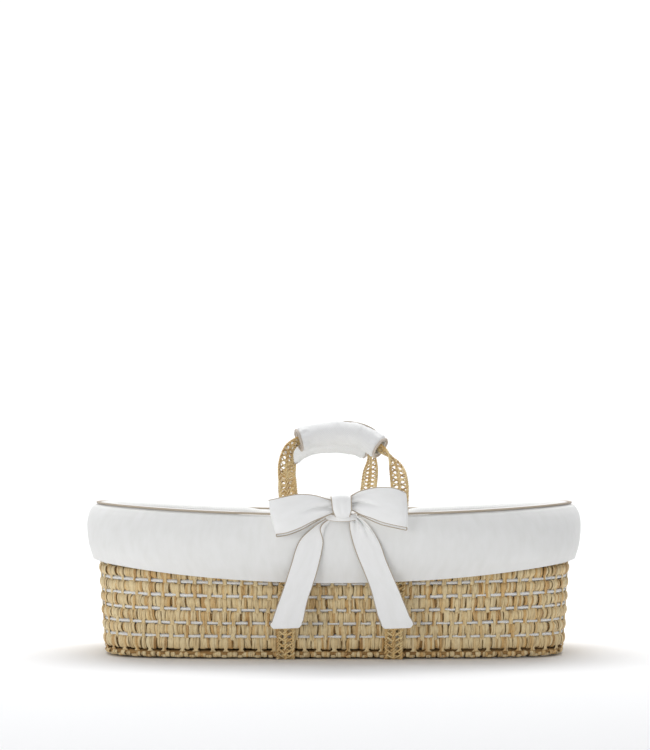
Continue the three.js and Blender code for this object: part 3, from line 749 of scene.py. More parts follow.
def handle_curve(side, t):
    """The handle's line in its own plane: centripetal Catmull-Rom, t from 0 to 1."""
    line = handle_points(side)
    points = np.vstack([2 * line[0] - line[1], line, 2 * line[-1] - line[-2]])
    place = np.clip(np.asarray(t, float), 0, 1) * (len(line) - 1)
    i = np.minimum(place.astype(int), len(line) - 2)
    f = (place - i)[..., None]
    a, b, c, d = (points[i + k] for k in range(4))
    gaps = [np.linalg.norm(q - p, axis=-1, keepdims=True) ** 0.5 for p, q in ((a, b), (b, c), (c, d))]
    leave = ((b - a) / gaps[0] - (c - a) / (gaps[0] + gaps[1]) + (c - b) / gaps[1]) * gaps[1]
    arrive = ((c - b) / gaps[1] - (d - b) / (gaps[1] + gaps[2]) + (d - c) / gaps[2]) * gaps[1]
    return b + leave * f + (3 * (c - b) - 2 * leave - arrive) * f**2 \
        + (2 * (b - c) + leave + arrive) * f**3


def handle_tangent(side, t):
    step = 1e-4
    return unit(handle_curve(side, np.minimum(t + step, 1)) - handle_curve(side, np.maximum(t - step, 0)))


def grip_tangent(side, t):
    """The grip's own direction, which stays flatter than the braid's at its two ends."""
    return handle_tangent(side, np.clip(t, GRIP_START + 0.04, GRIP_END - 0.04))


def placed_handle(points, side):
    """From the handle's own plane to its place beside the bed, front or back."""
    x, y, z = np.moveaxis(points, -1, 0)
    lean = math.radians(HANDLES[side][2])
    cos, sin = math.cos(-lean), math.sin(-lean)
    world = stacked(x, y * cos - z * sin - HINGE_Y, y * sin + z * cos + HINGE_HEIGHT)
    return turned(world, side)


def placed_direction(vectors, side):
    return placed_handle(vectors, side) - placed_handle(np.zeros(3), side)


def turned(points, side):
    return points * np.array([-1, -1, 1]) if side == "back" else points


def grip_radius(t):
    share = np.clip((t - GRIP_START) / (GRIP_END - GRIP_START), 0, 1)
    return GRIP_END_RADIUS + (GRIP_RADIUS - GRIP_END_RADIUS) * np.sin(pi * share) ** 0.7


def radial(side, t, degrees):
    """Away from the handle's line, turned from the plane's outer side towards the bed."""
    outer = np.cross(grip_tangent(side, t), NORMAL)
    angle = np.radians(degrees)[..., None]
    return outer * np.cos(angle) + NORMAL * np.sin(angle)


def handle_braid(side, rng):
    t = np.linspace(0, 1, 161)
    middle, tangent = handle_curve(side, t), handle_tangent(side, t)
    from_grip = np.maximum(np.maximum(1 - t / GRIP_START, (t - GRIP_END) / (1 - GRIP_END)), 0)
    twist = smoothstep(from_grip, 0, 0.75) * pi / 2 * np.where(t < 0.5, 1, -1)
    in_plane = np.cross(NORMAL, tangent)
    sides = NORMAL * np.cos(twist)[:, None] + in_plane * np.sin(twist)[:, None]
    widths = lerp(BRAID_GATHERED, BRAID_WIDTH, np.minimum(from_grip * 2, 1))
    path = BraidPath(middle, sides, widths)
    path.middles = placed_handle(path.middles, side)
    path.sides, path.faces = placed_direction(path.sides, side), placed_direction(path.faces, side)
    shell = Shell()
    ends = np.interp([GRIP_START + 0.04, GRIP_END - 0.04], t, path.at)
    lace_braid(shell, path, 0.0, ends[0], rng)
    lace_braid(shell, path, ends[1], path.at[-1], rng)
    shell.piece(side + "_handle_lace", PALM_BRAID, side + "_handle", "palm_braid", [side + "_handle_braid"])


def grip_wrap(side):
    """A padded band rolled round the braid: it gathers at both ends and laps over itself."""
    stations, around = 90, 64
    share = np.linspace(0, 1, stations)[:, None]
    t = GRIP_START - 0.004 + (GRIP_END - GRIP_START + 0.008) * share
    lap = np.linspace(0, 1, around)[None, :]
    degrees = FLAP_ANGLE + 360 * lap
    turn = np.radians(degrees)
    ends = np.abs(2 * share - 1)
    gather = smoothstep(ends, 0.55, 1.0)
    radius = grip_radius(t) + 1.9 * (1 - lap) - 0.6
    spots = stacked(share * GRIP_LENGTH, np.cos(turn) * GRIP_RADIUS, np.sin(turn) * GRIP_RADIUS)
    radius = radius + 1.5 * soft_noise(spots, 17, 1) + 0.7 * soft_noise(spots * [2.2, 1, 1], 8, 2)
    radius = radius + gather * 1.3 * np.sin(turn * 8 + 2 * soft_noise(spots, 30, 3))
    radius = radius + 2.2 * gather - 3.2 * smoothstep(ends, 0.93, 1.0)
    shape = (stations, around)
    middle = handle_curve(side, np.broadcast_to(t, shape))
    away = radial(side, np.broadcast_to(t, shape), np.broadcast_to(degrees, shape))
    outside = middle + away * radius[..., None]
    inside = middle + away * 12.5
    rings = np.concatenate([outside, inside[::-1]])
    place = stacked(lap * 115, share * GRIP_LENGTH)
    place = np.concatenate([place, place[::-1]])
    shell = Shell().tubes(placed_handle(rings, side)[None], place[None], looped=True)
    wrap = shell.piece(side + "_grip_padding", BRIGHTENED_GRIP_PIQUE, side + "_handle", "cover_pique",
                       [side + "_grip_wrap"])


def grip_edges(side):
    """The beige binding along the wrap's lap and round its two ends."""
    body = side + "_handle"
    share = np.linspace(0, 1, 70)
    t = GRIP_START + 0.005 + (GRIP_END - GRIP_START - 0.01) * share
    ends = smoothstep(np.abs(2 * share - 1), 0.6, 1.0)
    degrees = FLAP_ANGLE + 8 * np.sin(share * 2 * pi) * (1 - ends) + 16 * ends
    away = radial(side, t, degrees)
    raised = grip_radius(t) + 0.9 + 1.6 * ends - 2.0 * smoothstep(np.abs(2 * share - 1), 0.9, 1)
    middle = handle_curve(side, t) + away * raised[:, None]
    beside = np.cross(grip_tangent(side, t), away)
    turn = np.arange(10) / 10 * 2 * pi
    section = 2.7 * np.cos(turn)[:, None] * beside[:, None] + 1.2 * np.sin(turn)[:, None] * away[:, None]
    rings = placed_handle(middle[:, None] + section, side)
    shell = Shell().tubes(rings[None], stacked(turn * 2.2, (share * GRIP_LENGTH)[:, None])[None])
    shell.piece(side + "_flap_binding", PIPING, body, "beige_piping", [side + "_flap_piping"])
    for name, t_end, outward in (("left", GRIP_START, -1), ("right", GRIP_END, 1)):
        turn = np.linspace(0, 2 * pi, 49)[:-1]
        t_ring = np.full(48, t_end)
        along = grip_tangent(side, t_ring)
        radius = GRIP_END_RADIUS + 0.2 + 0.5 * np.sin(8 * turn)
        away = radial(side, t_ring, np.degrees(turn))
        middle = handle_curve(side, t_ring) + away * radius[:, None] + along * outward * 1.6
        up = placed_direction(along, side)[0]
        node = f"{side}_grip_piping_{name}"
        add_cord(Shell(), placed_handle(middle, side), 2.3, looped=True, up=up).piece(
            node + "_cord", SOFT_PIPING, body, "beige_piping", [node])


def press_studs(side):
    """Covered press studs: a low dome with a turned-down rim."""
    profile = np.array([[0.25, 2.1], [2.4, 2.05], [4.2, 1.75], [5.2, 1.3], [5.6, 1.45], [6.0, 1.1],
                        [6.1, 0.3], [5.8, -0.9], [0.25, -0.9]])
    for name, offset in (("left", -SNAP_SPACING / 2), ("right", SNAP_SPACING / 2)):
        t = np.array((GRIP_START + GRIP_END) / 2 + offset / HANDLE_LENGTH)
        away = radial(side, t, np.array(SNAP_ANGLE))
        middle = handle_curve(side, t) + away * (grip_radius(t) + 2.0)
        along = grip_tangent(side, t)
        beside = np.cross(away, along)
        turn = np.arange(28) / 28 * 2 * pi
        spoke = np.cos(turn)[:, None] * along + np.sin(turn)[:, None] * beside
        rings = middle + profile[:, None, :1] * spoke + profile[:, None, 1:] * away
        place = stacked(profile[:, :1] * np.cos(turn), profile[:, :1] * np.sin(turn))
        node = f"{side}_snap_{name}"
        Shell().tubes(placed_handle(rings, side)[None], place[None]).piece(
            node + "_cap", STUD, side + "_handle", "beige_stud", [node])


# Cover

def round_the_basket(count=560):
    """Angles round the basket, close together at the head's end seam."""
    angles = np.linspace(0, 2 * pi, count, endpoint=False)
    seam = np.array([-0.012, -0.008, -0.005, -0.0025, 0.0025, 0.005, 0.008, 0.012])
    angles = angles[(angles > 0.014) & (angles < 2 * pi - 0.014)]
    return np.concatenate([[0.0], seam[4:], angles, seam[:4] + 2 * pi])


def arc_lengths(angles):
    return walk(ring(angles, PIPING_LENGTH, PIPING_WIDTH, PIPING_HEIGHT, 1))


def end_seam(angles, depth):
    """A sewn seam up the head end, as a narrow groove."""
    off_seam = np.minimum(angles, 2 * pi - angles) * PIPING_LENGTH
    return -depth * np.exp(-(off_seam / 1.4) ** 2)


def bumper():
    """The padded inner side of the cover: over the rim, down to the mattress, and its lining,
    which shows white in the slits between the coils."""
    angles = round_the_basket()
    # Each row: half length, half width, height, and the share of the rim's rise.
    inner = spline([(401.4, 213.4, 232.6, 1), (397, 207, 235.2, 1), (389, 194, 236, 1), (381, 184, 230, 1),
                    (376, 179, 214, 0.95), (371, 173, 190, 0.85), (366, 165.5, 150, 0.6),
                    (361.5, 156, 105, 0.35), (358.5, 149.5, 70, 0.1), (355.6, 145.9, 57, 0),
                    (355.6, 145.9, 50, 0), (359, 149, 19, 0)], 64)
    lining_heights = np.linspace(WALL_FOOT + 2, RIM_HEIGHT - 3, 96)
    boundary = (lining_heights - WALL_FOOT) / COIL_PITCH
    off_slit = (boundary - np.round(boundary)) * COIL_PITCH
    beside_coils = (np.round(boundary) >= 1) * (np.round(boundary) < COIL_COUNT)
    bulge = np.exp(-(off_slit / 3.6) ** 4) * beside_coils
    share = wall_share(lining_heights)
    out = -6.6 + 9.2 * bulge
    lining = np.stack([lerp(FOOT_HALF_LENGTH, RIM_HALF_LENGTH, share) + out,
                       lerp(FOOT_HALF_WIDTH, RIM_HALF_WIDTH, share) + out, lining_heights, share], -1)
    under_lip = [(x, y, RIM_HEIGHT + 1.2, 1) for x, y in ((394.5, 194.5), (398, 203), (401, 213))]
    outline = np.vstack([inner, lining, under_lip])
    length, width, height, rise = (outline[None, :, k] for k in range(4))
    points = ring(angles[:, None], length, width, height, rise)

    # Beside the rim the lip stops short on both long sides, where the braid comes up.
    crest = ring(angles[:, None], 389, 190, 236, 1)[..., 1]
    shut = smoothstep(np.abs(points[..., 0]), SLIT_HALF_LENGTH - 22, SLIT_HALF_LENGTH + 5)
    beyond = np.abs(points[..., 1]) - np.abs(crest)
    edge = ring(angles[:, None], PIPING_LENGTH - 2, PIPING_WIDTH - 2, 233, 1)[..., 1]
    room = np.maximum(np.abs(edge) - np.abs(crest), 1)
    kept = lerp((SLIT_Y - 6.4 - np.abs(crest)) / room, 1, shut)
    on_lip = (height > RIM_HEIGHT) & (beyond > 0) & (np.abs(points[..., 1]) > 150)
    held_back = np.sign(points[..., 1]) * (np.abs(crest) + beyond * np.clip(kept, 0.05, 1))
    points[..., 1] = np.where(on_lip, held_back, points[..., 1])

    # Padding: soft hollows along the sides, deeper folds where the cover turns round the ends.
    s = arc_lengths(angles)
    on_inner = np.arange(len(outline)) < len(inner)
    down = np.where(on_inner, np.clip((236 - outline[:, 2]) / 190, 0, 1), 0)[None, :]
    ends = smoothstep(np.abs(np.cos(angles)), 0.55, 0.95)[:, None]
    belly = np.sin(pi * np.clip(down, 0, 1)) ** 0.8
    spots = stacked(s[:, None] / 70, height / 150)
    folds = stacked(s[:, None] / 34, height / 190, 5.0)
    creased = ends * 10.0 * np.maximum(0, 0.2 + soft_noise(folds, 1, 5))
    hollow = belly * (3.0 * (0.6 + soft_noise(spots, 1, 4)) + creased)
    hem = smoothstep(down, 0.75, 0.95) * (0.3 + ends) * 2.2 \
        * np.maximum(0, 0.3 + soft_noise(folds * 1.7, 1, 6))
    seam = end_seam(angles, 1.2)[:, None] * on_inner[None, :]
    points = points + unit(points * [1, 1, 0]) * ((hollow + hem) * on_inner[None, :] - seam)[..., None]

    # Where the braid passes over it, the padding is pressed down.
    pressed = (1 - smoothstep(np.abs(points[..., 0]), 122, 165)) * smoothstep(points[..., 2], 205, 234)
    points[..., 2] -= 4.6 * pressed * on_inner[None, :]

    place = stacked(walk(outline[:, :3] * [0.5, 0.5, 1]), s[:, None])
    made = Shell().tubes(points[None], place[None], looped=True).piece(
        "bumper", PIQUE, "basket", "cover_pique", ["liner_bumper"])


def skirt():
    """The smooth outer side: one cloth that swells below the piping and is drawn in at its hem."""
    angles = round_the_basket()
    s = arc_lengths(angles)
    # Each row: how far below the piping, how far out of it at the ends and sides, and the rise.
    rows = spline([(3, -0.5, -0.5, 1), (8, 8, 4, 1), (22, 14, 7, 1.05), (46, 15.5, 7.5, 1.3),
                   (80, 11.5, 1, 1.6), (109, 4, -13, 1.95)], 60)
    down, ends, sides, rise = (rows[None, :, k] for k in range(4))
    points = ring(angles[:, None], PIPING_LENGTH + ends, PIPING_WIDTH + sides, PIPING_HEIGHT - down, rise)
    waves = stacked(s[:, None] / 120, down / 160)
    ripples = stacked(s[:, None] / 26, down / 200, 3.0)
    low = smoothstep(down, 40, 109)
    high = 1 - smoothstep(down, 4, 26)
    sway = 1.7 * soft_noise(waves, 1, 7) * smoothstep(down, 6, 50) - 1.2 * smoothstep(down, 3, 12)
    sway = sway + (0.5 * low + 0.35 * high) * soft_noise(ripples, 1, 8)
    # The hem is turned up 9 mm and stitched, which draws a shallow line in the cloth.
    hem_line = -0.55 * np.exp(-((down - 100) / 0.9) ** 2)
    sway = sway + hem_line + end_seam(angles, 0.9)[:, None]
    points = points + unit(points * [1, 1, 0]) * sway[..., None]
    shell = Shell().sheet(points, SKIRT_THICKNESS, stacked(s[:, None], down), looped=True)
    made = shell.piece("skirt", SATEEN, "basket", "cover_sateen", ["liner_skirt"], sharp=50)


def rim_piping():
    angles = np.linspace(0, 2 * pi, 640, endpoint=False)
    line = ring(angles, PIPING_LENGTH, PIPING_WIDTH, PIPING_HEIGHT, 1)
    wander = 0.35 * soft_noise(line, 60, 9)
    line = line + unit(line * [1, 1, 0]) * wander[:, None]
    add_cord(Shell(), line, RIM_PIPING_RADIUS, looped=True).piece(
        "rim_piping_cord", PIPING, "basket", "beige_piping", ["rim_piping"])


# Bedding

def mattress():
    """A fitted sheet over the foam: a plain top panel, a fine corded seam, a gathered band."""
    angles = np.linspace(0, 2 * pi, 720, endpoint=False)
    seam_inset, bottom = 40.0, WALL_FOOT + 3
    top = MATTRESS_TOP
    # Each row: inset from the mattress's edge, height.
    over = [(340, top), (250, top), (160, top), (110, top - 0.2), (70, top - 0.5), (46, top - 1.0),
            (seam_inset, top - 1.8)]
    side = [(34, top - 2.4), (22, top - 4), (10, top - 7), (3, top - 13), (0, top - 20),
            (0.4, bottom + 6), (1.5, bottom)]
    rows = np.vstack([over, spline(side, 26)])
    shares = rows[:, 0]
    length = np.maximum(MATTRESS_LENGTH - shares, 6)
    inwards = np.interp(shares, [seam_inset, 340], [MATTRESS_WIDTH - seam_inset, 4])
    width = np.where(shares > seam_inset, inwards, MATTRESS_WIDTH - shares)
    outer = ring(angles[None, :], length[:, None], width[:, None], rows[:, 1:2], 0)
    line = ring(angles, MATTRESS_LENGTH - seam_inset, MATTRESS_WIDTH - seam_inset, top, 0)
    s = walk(line)
    band = (smoothstep(seam_inset - shares, 0, 8) * (1 - smoothstep(seam_inset - shares, 26, 40)))[:, None]
    gathers = stacked(s[None, :] / 11, shares[:, None] / 60, 2.0)
    lumps = stacked(outer[..., 0] / 90, outer[..., 1] / 90)
    outer[..., 2] += band * 1.5 * soft_noise(gathers, 1, 10) \
        + (1 - band) * (shares > 1)[:, None] * soft_noise(lumps, 1, 11)
    block = outer - unit(outer * [1, 1, 0]) * 2.4 * (shares < 46)[:, None, None]
    block[..., 2] = np.maximum(block[..., 2] - 2.4, WALL_FOOT + 0.6)
    underside = np.stack([block[-1] * [lower, lower, 1] for lower in (0.97, 0.6, 0.02)])
    underside[..., 2] = WALL_FOOT + 0.6
    profile = np.concatenate([block, underside])
    foam = Shell().tubes(profile[None], stacked(profile[..., 0], profile[..., 1])[None])
    padding = foam.piece("foam_block", FOAM, "mattress", "foam", ["mattress_foam"])
    inner = outer[::-1] - unit(outer[::-1] * [1, 1, 0]) * 1.2 * (shares[::-1] < 12)[:, None, None]
    inner[..., 2] -= 1.2 * (shares[::-1] >= 12)[:, None]
    profile = np.concatenate([outer, inner])
    shell = Shell().tubes(profile[None], stacked(profile[..., 0], profile[..., 1])[None])
    cord = add_cord(Shell(), line + [0, 0, -0.9], 0.8, looped=True).piece(
        "sheet_seam_cord", EDGING, "mattress", "beige_piping")
    made = shell.piece("mattress_sheet", SHEETING, "mattress", "sheet_cotton", ["fitted_sheet"])


def quilt_half_width(x):
    power = plan_power(60.0)
    return QUILT_WIDTH * (1 - np.minimum(np.abs(x / QUILT_FOOT), 0.9995) ** power) ** (1 / power)


def quilt_surface():
    """The quilt's middle layer, from its foot to the fold at the head and back over itself."""
    low = MATTRESS_TOP + 0.3 + 6.2
    high = FLAP_TOP - 5.6
    radius = (high - low) / 2
    run = QUILT_HEAD - radius - 5.5
    foot_x = QUILT_FOOT + 0.5 + 60 * np.linspace(0, 1, 24) ** 1.8
    bottom_x = np.concatenate([foot_x, np.linspace(foot_x[-1], run, 92)[1:]])
    turn = np.linspace(0, pi, 16)[1:-1]
    top_x = np.linspace(run, FLAP_EDGE + 0.5, 50)
    x = np.concatenate([bottom_x, run + radius * np.sin(turn), top_x])
    z = np.concatenate([np.full(len(bottom_x), low), low + radius * (1 - np.cos(turn)),
                        np.full(len(top_x), high)])
    return x, z, len(bottom_x)


def quilt():
    x, z, turn_at = quilt_surface()
    across = np.sin(np.linspace(-1, 1, 81) * pi / 2 * 0.96) / math.sin(pi / 2 * 0.96)
    half = quilt_half_width(x)[:, None]
    edge_wander = 1.6 * soft_noise(stacked(x / 60, z / 50), 1, 12)[:, None]
    y = across * (half + edge_wander)
    middle = stacked(x[:, None], y, z[:, None])
    walked = np.concatenate([[0], np.cumsum(np.hypot(np.diff(x), np.diff(z)))])[:, None]
    upper = (np.arange(len(x)) >= turn_at)[:, None]
    from_edge = np.minimum(walked, walked[-1] - walked)
    from_side = np.abs(half) - np.abs(y)
    roll = np.sqrt(np.clip(1 - (1 - np.clip(np.minimum(from_edge, from_side) / 9, 0, 1)) ** 2, 0.05, 1))
    full = np.where(upper, 11.0, 12.2)
    lumps = stacked(walked / 46, y / 46)
    creases = stacked(walked / 15, y / 60)
    near_fold = np.exp(-((walked - walked[turn_at]) / 34) ** 2)
    uneven = 0.07 * soft_noise(lumps, 1, 13) + 0.05 * near_fold * soft_noise(creases, 1, 14)
    thickness = full * roll * (1 + uneven)
    sag = -0.5 * full * (1 - roll) * (1 - near_fold)
    middle[..., 2] += sag * np.where(upper, 0.7, 1.0) + 0.7 * soft_noise(lumps, 1, 15) * upper
    made = Shell().sheet(middle, thickness, stacked(y, walked)).piece(
        "quilt", PIQUE, "quilt", "quilt_cotton", ["quilt_body", "quilt_flap"])
    # The folded-back end is plain cloth.
    made.data.materials.append(SHEETING)
    plain_from = walked[turn_at, 0]
    place = np.empty(len(made.data.vertices) * 3, np.float32)
    made.data.attributes["place"].data.foreach_get("vector", place)
    along = place.reshape(-1, 3)[:, 1]
    for polygon in made.data.polygons:
        if along[polygon.vertices[0]] > plain_from:
            polygon.material_index = 1


def flap_height(x, y):
    """How high the flap's top is under the trim and the cords sewn on it."""
    side = np.clip((quilt_half_width(x) - np.abs(y)) / 9, 0, 1)
    return FLAP_TOP - 0.3 - 9.0 * (1 - np.sqrt(np.clip(1 - (1 - side) ** 2, 0, 1)))


def quilt_trims():
    across = np.linspace(-1, 1, 561)
    x = np.linspace(TRIM_START, TRIM_END, 83)
    half = quilt_half_width((TRIM_START + TRIM_END) / 2) - 1.5
    y = across * half
    # Zigzags 25 mm long and 8.2 mm apart, of lines 3.2 mm wide.
    zig = np.abs(np.mod(y, 25.0) - 12.5)
    line = np.mod(x[:, None] - TRIM_START + zig[None, :], 8.2) / 8.2
    raised = smoothstep(line, 0.02, 0.1) * (1 - smoothstep(line, 0.36, 0.44))
    margin = np.minimum(x - x[0], x[-1] - x)[:, None]
    raised = raised * smoothstep(margin, 1.6, 2.2)
    z = flap_height(x[:, None], y[None, :]) + 1.0 + 0.35 * raised
    middle = stacked(x[:, None], y[None, :], z)
    trim = Shell().sheet(middle, 0.9, stacked(y, x[:, None], raised)).piece(
        "chevron_braid_trim", CHEVRON, "quilt", "chevron_braid", ["chevron_trim"], sharp=50)
    y = np.linspace(-half, half, 150)
    for node, place_x, radius, lift in (("trim_piping_foot", TRIM_START - 1.2, 1.1, 0.9),
                                        ("trim_piping_head", TRIM_END + 1.2, 1.1, 0.9),
                                        ("flap_piping", FLAP_EDGE - 1.4, 1.6, -5.6)):
        wander = 0.3 * soft_noise(stacked(y / 40, place_x), 1, 16)
        points = stacked(place_x + wander, y, flap_height(place_x, y) + lift)
        add_cord(Shell(), points, radius).piece(node + "_cord", PIPING, "quilt", "beige_piping", [node])


# Bows

def edge_cords(name, middle, side, radius=0.95, **shape):
    """Fine piping along both edges of a ribbon."""
    shell = Shell()
    for edge in (middle[:, 0], middle[:, -1]):
        add_cord(shell, turned(edge, side), radius, **shape)
    return shell.piece(name, EDGING, "basket", "beige_piping")


def ribbon_piece(side, part, middle, length):
    """One stretch of piped ribbon; `middle` is its grid of points in the front bow's place."""
    node = f"{side}_bow_{part}"
    along = np.linspace(0, length, middle.shape[0])[:, None]
    across = np.linspace(-RIBBON_WIDTH / 2, RIBBON_WIDTH / 2, middle.shape[1])[None, :]
    shell = Shell().sheet(turned(middle, side), RIBBON_THICKNESS, stacked(across, along))
    made = shell.piece(node + "_ribbon", BRIGHTENED_RIBBON, "basket", "cover_sateen", [node], sharp=50)
    cords = edge_cords(node + "_edging", middle, side, **RIBBON_EDGE)


RIBBON_EDGE = {"sides": 7, "up": (0.21, 0.94, 0.27)}

# A loop's front layer from the knot's middle outwards: place, top edge and bottom edge.
LOOP_LEFT = [(9, 8, -9), (21, 10.5, -14), (44, 17, -23), (67, 18.5, -34), (88, 14.5, -41), (109, 9, -44)]
LOOP_RIGHT = [(9, 12, -5), (17, 17.5, -6.5), (30, 24, -13), (48, 28, -19), (64, 29.5, -25), (85, 27.5, -30),
              (102, 20, -33.5)]
# Where the fold that starts at the knot runs, in the same measures.
FOLD_LEFT = [(9, -2), (30, -2.5), (48, -3), (67, -12)]
FOLD_RIGHT = [(9, 1), (30, 6), (45, 4), (60, -1)]


def bow_loop(side, direction):
    """A full loop: out along the front, round the tip and back behind, pinched at the knot."""
    t = np.linspace(0, 1, 96)[:, None]
    w = np.linspace(-1, 1, 33)[None, :]
    left = direction < 0
    rows = spline(LOOP_LEFT if left else LOOP_RIGHT, 60)
    fold = spline(FOLD_LEFT if left else FOLD_RIGHT, 40)
    start, reach = rows[0, 0], rows[-1, 0]
    outward = np.sin(pi * t) ** 0.85
    x = start + (reach - start) * outward
    behind = smoothstep(t, 0.46, 0.56)
    top = np.interp(x, rows[:, 0], rows[:, 1]) - 1.5 * behind * outward
    bottom = np.interp(x, rows[:, 0], rows[:, 2]) - 4.5 * behind * smoothstep(outward, 0.1, 0.5)
    z = lerp(bottom, top, (w + 1) / 2)
    y = -12.5 * np.sin(2 * pi * t) * (1 - 0.25 * outward)
    along_fold = np.interp(x, fold[:, 0], fold[:, 1])
    crease = np.exp(-((z - along_fold) / 3.2) ** 2) * (1 - smoothstep(x, fold[-1, 0] - 34, fold[-1, 0] + 6))
    pinch = 1 - smoothstep(x, 12, 52)
    pleats = pinch * 2.2 * np.cos(w * 7.5 + 0.6 * direction)
    swell = -4.6 * (1 - w**2) * outward * (1 - 1.6 * behind)
    y = y + (1 - behind) * (6.5 * crease + pleats + swell) \
        + behind * (1.5 * crease + pleats * 0.5 + swell)
    x = x + (6.0 * w if left else -0.8 * w) * outward**4 + 1.6 * (1 - w**2) * outward**4
    if side == "back":
        droop = math.radians(2.5 if left else 9.0)
        x, z = (x * math.cos(droop) + z * math.sin(droop) * 0.4,
                z * math.cos(droop) - x * math.sin(droop))
    points = stacked(BOW_X + direction * x, BOW_Y + y, BOW_HEIGHTS[side] + z)
    ribbon_piece(side, "loop_left" if left else "loop_right", points, 214)


def bow_tails(side):
    # Each row: x and height of the tail's middle from the knot, then its width there.
    left = spline([(-8, -12, 16), (-30, -30, 32), (-47, -52, 43), (-57, -88, 48), (-67, -122, 50),
                   (-80, -160, 51), (-88, -193, 52)], 60)
    right = spline([(10, -10, 16), (26, -24, 30), (37, -50, 47), (46, -78, 50), (60, -112, 51),
                    (72, -142, 52), (88, -193, 53)], 60)
    w = np.linspace(-1, 1, 27)[None, :]
    height = BOW_HEIGHTS["front"]
    for part, rows, lean, seed in (("tail_left", left, 0.27, 20), ("tail_right", right, -0.3, 21)):
        t = np.linspace(0, 1, len(rows))[:, None]
        x, z, width = (rows[:, k:k + 1] for k in range(3))
        z = z - (height - BOW_HEIGHTS[side]) * (1 - smoothstep(t, 0, 0.4))
        # The end is cut nearly level, with rounded corners.
        level = smoothstep(t, 0.8, 1.0)
        slope = lean * (1 - level) + 0.03 * level
        fold = 1 - smoothstep(t, 0.12, 0.42)
        spots = stacked(t * 2.1, w, seed + 0.5)
        body = TAIL_Y + 3.0 * np.sin(t * 2.4) + 1.6 * soft_noise(spots, 1, seed)
        if part == "tail_left":
            turn_over = np.maximum(w - lerp(1.0, 0.42, fold), 0)
            spread = w - 2 * turn_over
            y = body - 3.0 * smoothstep(turn_over, 0, 0.12) * fold
        else:
            spread = w
            y = body - fold * 5.0 * np.cos(w * 8.0 + 0.5) * (1 - smoothstep(t, 0.22, 0.4) * 0.5)
        offset = spread * width / 2
        rounded = 6.5 * np.clip((np.abs(w) - 0.76) / 0.24, 0, 1) ** 2 * smoothstep(t, 0.93, 1.0)
        ends = height + z + offset * slope + rounded
        points = stacked(BOW_X + x + offset * math.cos(lean), y, ends)
        ribbon_piece(side, part, points, 204)


def bow_knot(side):
    """The ribbon's turn round the middle of the bow, over a short tie to the rim."""
    turn = np.linspace(0, 2 * pi, 73)[:-1][:, None]
    w = np.linspace(-1, 1, 21)[None, :]
    up, out = np.cos(turn), np.sin(turn)
    height = BOW_HEIGHTS[side]
    flare = lerp(1.0, 0.78, smoothstep(-up, 0.1, 1.0))
    x = w * 14.8 * flare * (1 + 0.05 * up) - 1.2 * up
    round_off = np.sqrt(1 - 0.30 * w**2)
    wrinkle = 0.5 * np.sin(w * 9 + 1.2 * up) * (1 - w**2)
    z = (18.6 * np.sign(up) * np.abs(up) ** 0.85) * round_off
    y = -(13.2 * np.sign(out) * np.abs(out) ** 0.8) * round_off - wrinkle * np.maximum(out, 0)
    points = stacked(BOW_X + x, BOW_Y + y, height + z - 0.8)
    node = side + "_bow_knot"
    shell = Shell().sheet(turned(points, side), 1.6, stacked(w * 16, turn * 16), looped=True)
    made = shell.piece(node + "_band", BRIGHTENED_RIBBON, "basket", "cover_sateen", [node], sharp=50)
    cords = edge_cords(node + "_edging", points, side, 1.15, looped=True, up=(1, 0.05, 0))
    t = np.linspace(0, 1, 30)[:, None]
    w = np.linspace(-1, 1, 9)[None, :]
    x = lerp(-24, 24, t)
    sag = 3.0 * (1 - (x / 24) ** 2)
    tie = stacked(BOW_X + x, TAIL_Y - 0.5 - 9 * np.sin(pi * t), height - 16.5 + 4.6 * w - sag)
    shell = Shell().sheet(turned(tie, side), 2.4, stacked(w * 6, t * 48))
    tie_piece = shell.piece(node + "_tie", BRIGHTENED_RIBBON, "basket", "cover_sateen", sharp=50)
    tie_cords = edge_cords(node + "_tie_edging", tie, side, **RIBBON_EDGE)


# The stage, the light and the camera

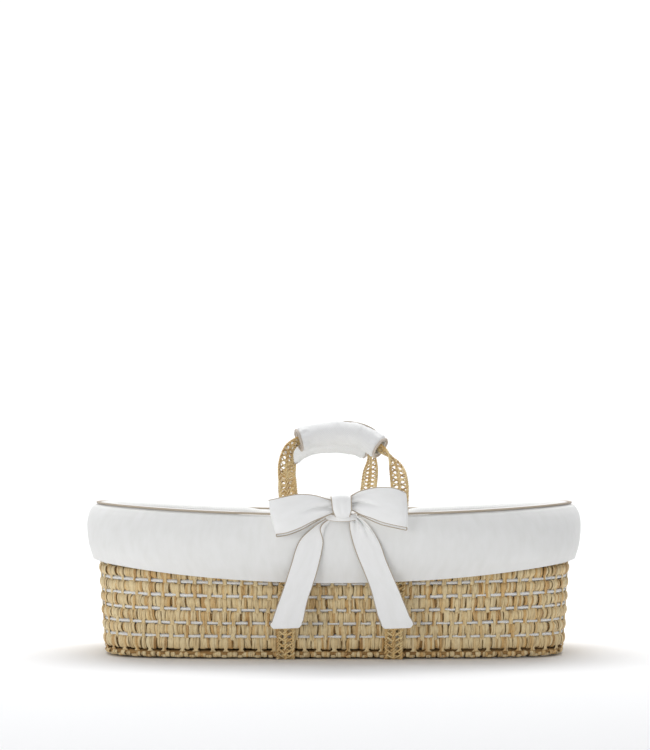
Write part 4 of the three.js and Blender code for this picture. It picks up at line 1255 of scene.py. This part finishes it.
def stage():
    """A white floor that sweeps up behind."""
    profile = [(-6.0, 0.0), (2.2, 0.0)]
    turn = np.linspace(0, pi / 2, 14)[1:]
    profile += [(2.2 + 1.4 * math.sin(a), 1.4 - 1.4 * math.cos(a)) for a in turn] + [(3.6, 5.0)]
    points = [(x, y, z) for y, z in profile for x in (-7.0, 7.0)]
    faces = [(2 * i, 2 * i + 1, 2 * i + 3, 2 * i + 2) for i in range(len(profile) - 1)]
    mesh = bpy.data.meshes.new("studio_floor")
    mesh.from_pydata(points, [], faces)
    mesh.polygons.foreach_set("use_smooth", np.ones(len(faces), bool))
    paper, _ = new_material("white_studio_paper", Base_Color=srgb("#fafafa"), Roughness=0.9,
                            Specular_IOR_Level=0.1)
    mesh.materials.append(paper)
    floor = bpy.data.objects.new("studio_floor", mesh)
    bpy.context.scene.collection.objects.link(floor)


def area_light(name, place, target, size, power):
    light = bpy.data.lights.new(name, "AREA")
    light.shape, light.size, light.size_y, light.energy = "RECTANGLE", size[0], size[1], power
    lamp = bpy.data.objects.new(name, light)
    lamp.location = place
    lamp.rotation_euler = (Vector(target) - Vector(place)).to_track_quat("-Z", "Y").to_euler()
    bpy.context.scene.collection.objects.link(lamp)


def light_and_camera():
    scene = bpy.context.scene
    world = bpy.data.worlds.new("white_studio")
    world.use_nodes = True
    sky = world.node_tree.nodes["Background"].inputs
    sky["Color"].default_value, sky["Strength"].default_value = srgb("#fbfcff"), 0.52
    scene.world = world
    area_light("overhead_softbox", (0.0, 0.7, 2.5), (0, 0, 0.1), (2.6, 1.8), 34)
    area_light("front_softbox", (-1.8, -2.6, 0.75), (0, 0, 0.2), (1.4, 0.9), 14)
    area_light("backdrop_wash", (0.0, 1.6, 3.2), (0, 2.6, 0.2), (4.0, 1.0), 60)
    camera = bpy.data.cameras.new("camera")
    camera.sensor_width, camera.lens = 36.0, 81.55
    eye = bpy.data.objects.new("camera", camera)
    eye.location = (-0.0154, -2.93, 0.297)
    eye.rotation_euler = (math.radians(90 + 3.37), 0, 0)
    scene.collection.objects.link(eye)
    scene.camera = eye
    scene.view_settings.view_transform = "Standard"


light_and_camera()
stage()
weave_wall()
weave_floor()
make_straps()
bumper()
skirt()
rim_piping()
mattress()
quilt()
quilt_trims()
braid_rng = np.random.default_rng(41)
for dressed in ("front", "back"):
    handle_braid(dressed, braid_rng)
    grip_wrap(dressed)
    grip_edges(dressed)
    press_studs(dressed)
    bow_loop(dressed, -1)
    bow_loop(dressed, 1)
    bow_tails(dressed)
    bow_knot(dressed)

bpy.context.view_layer.update()
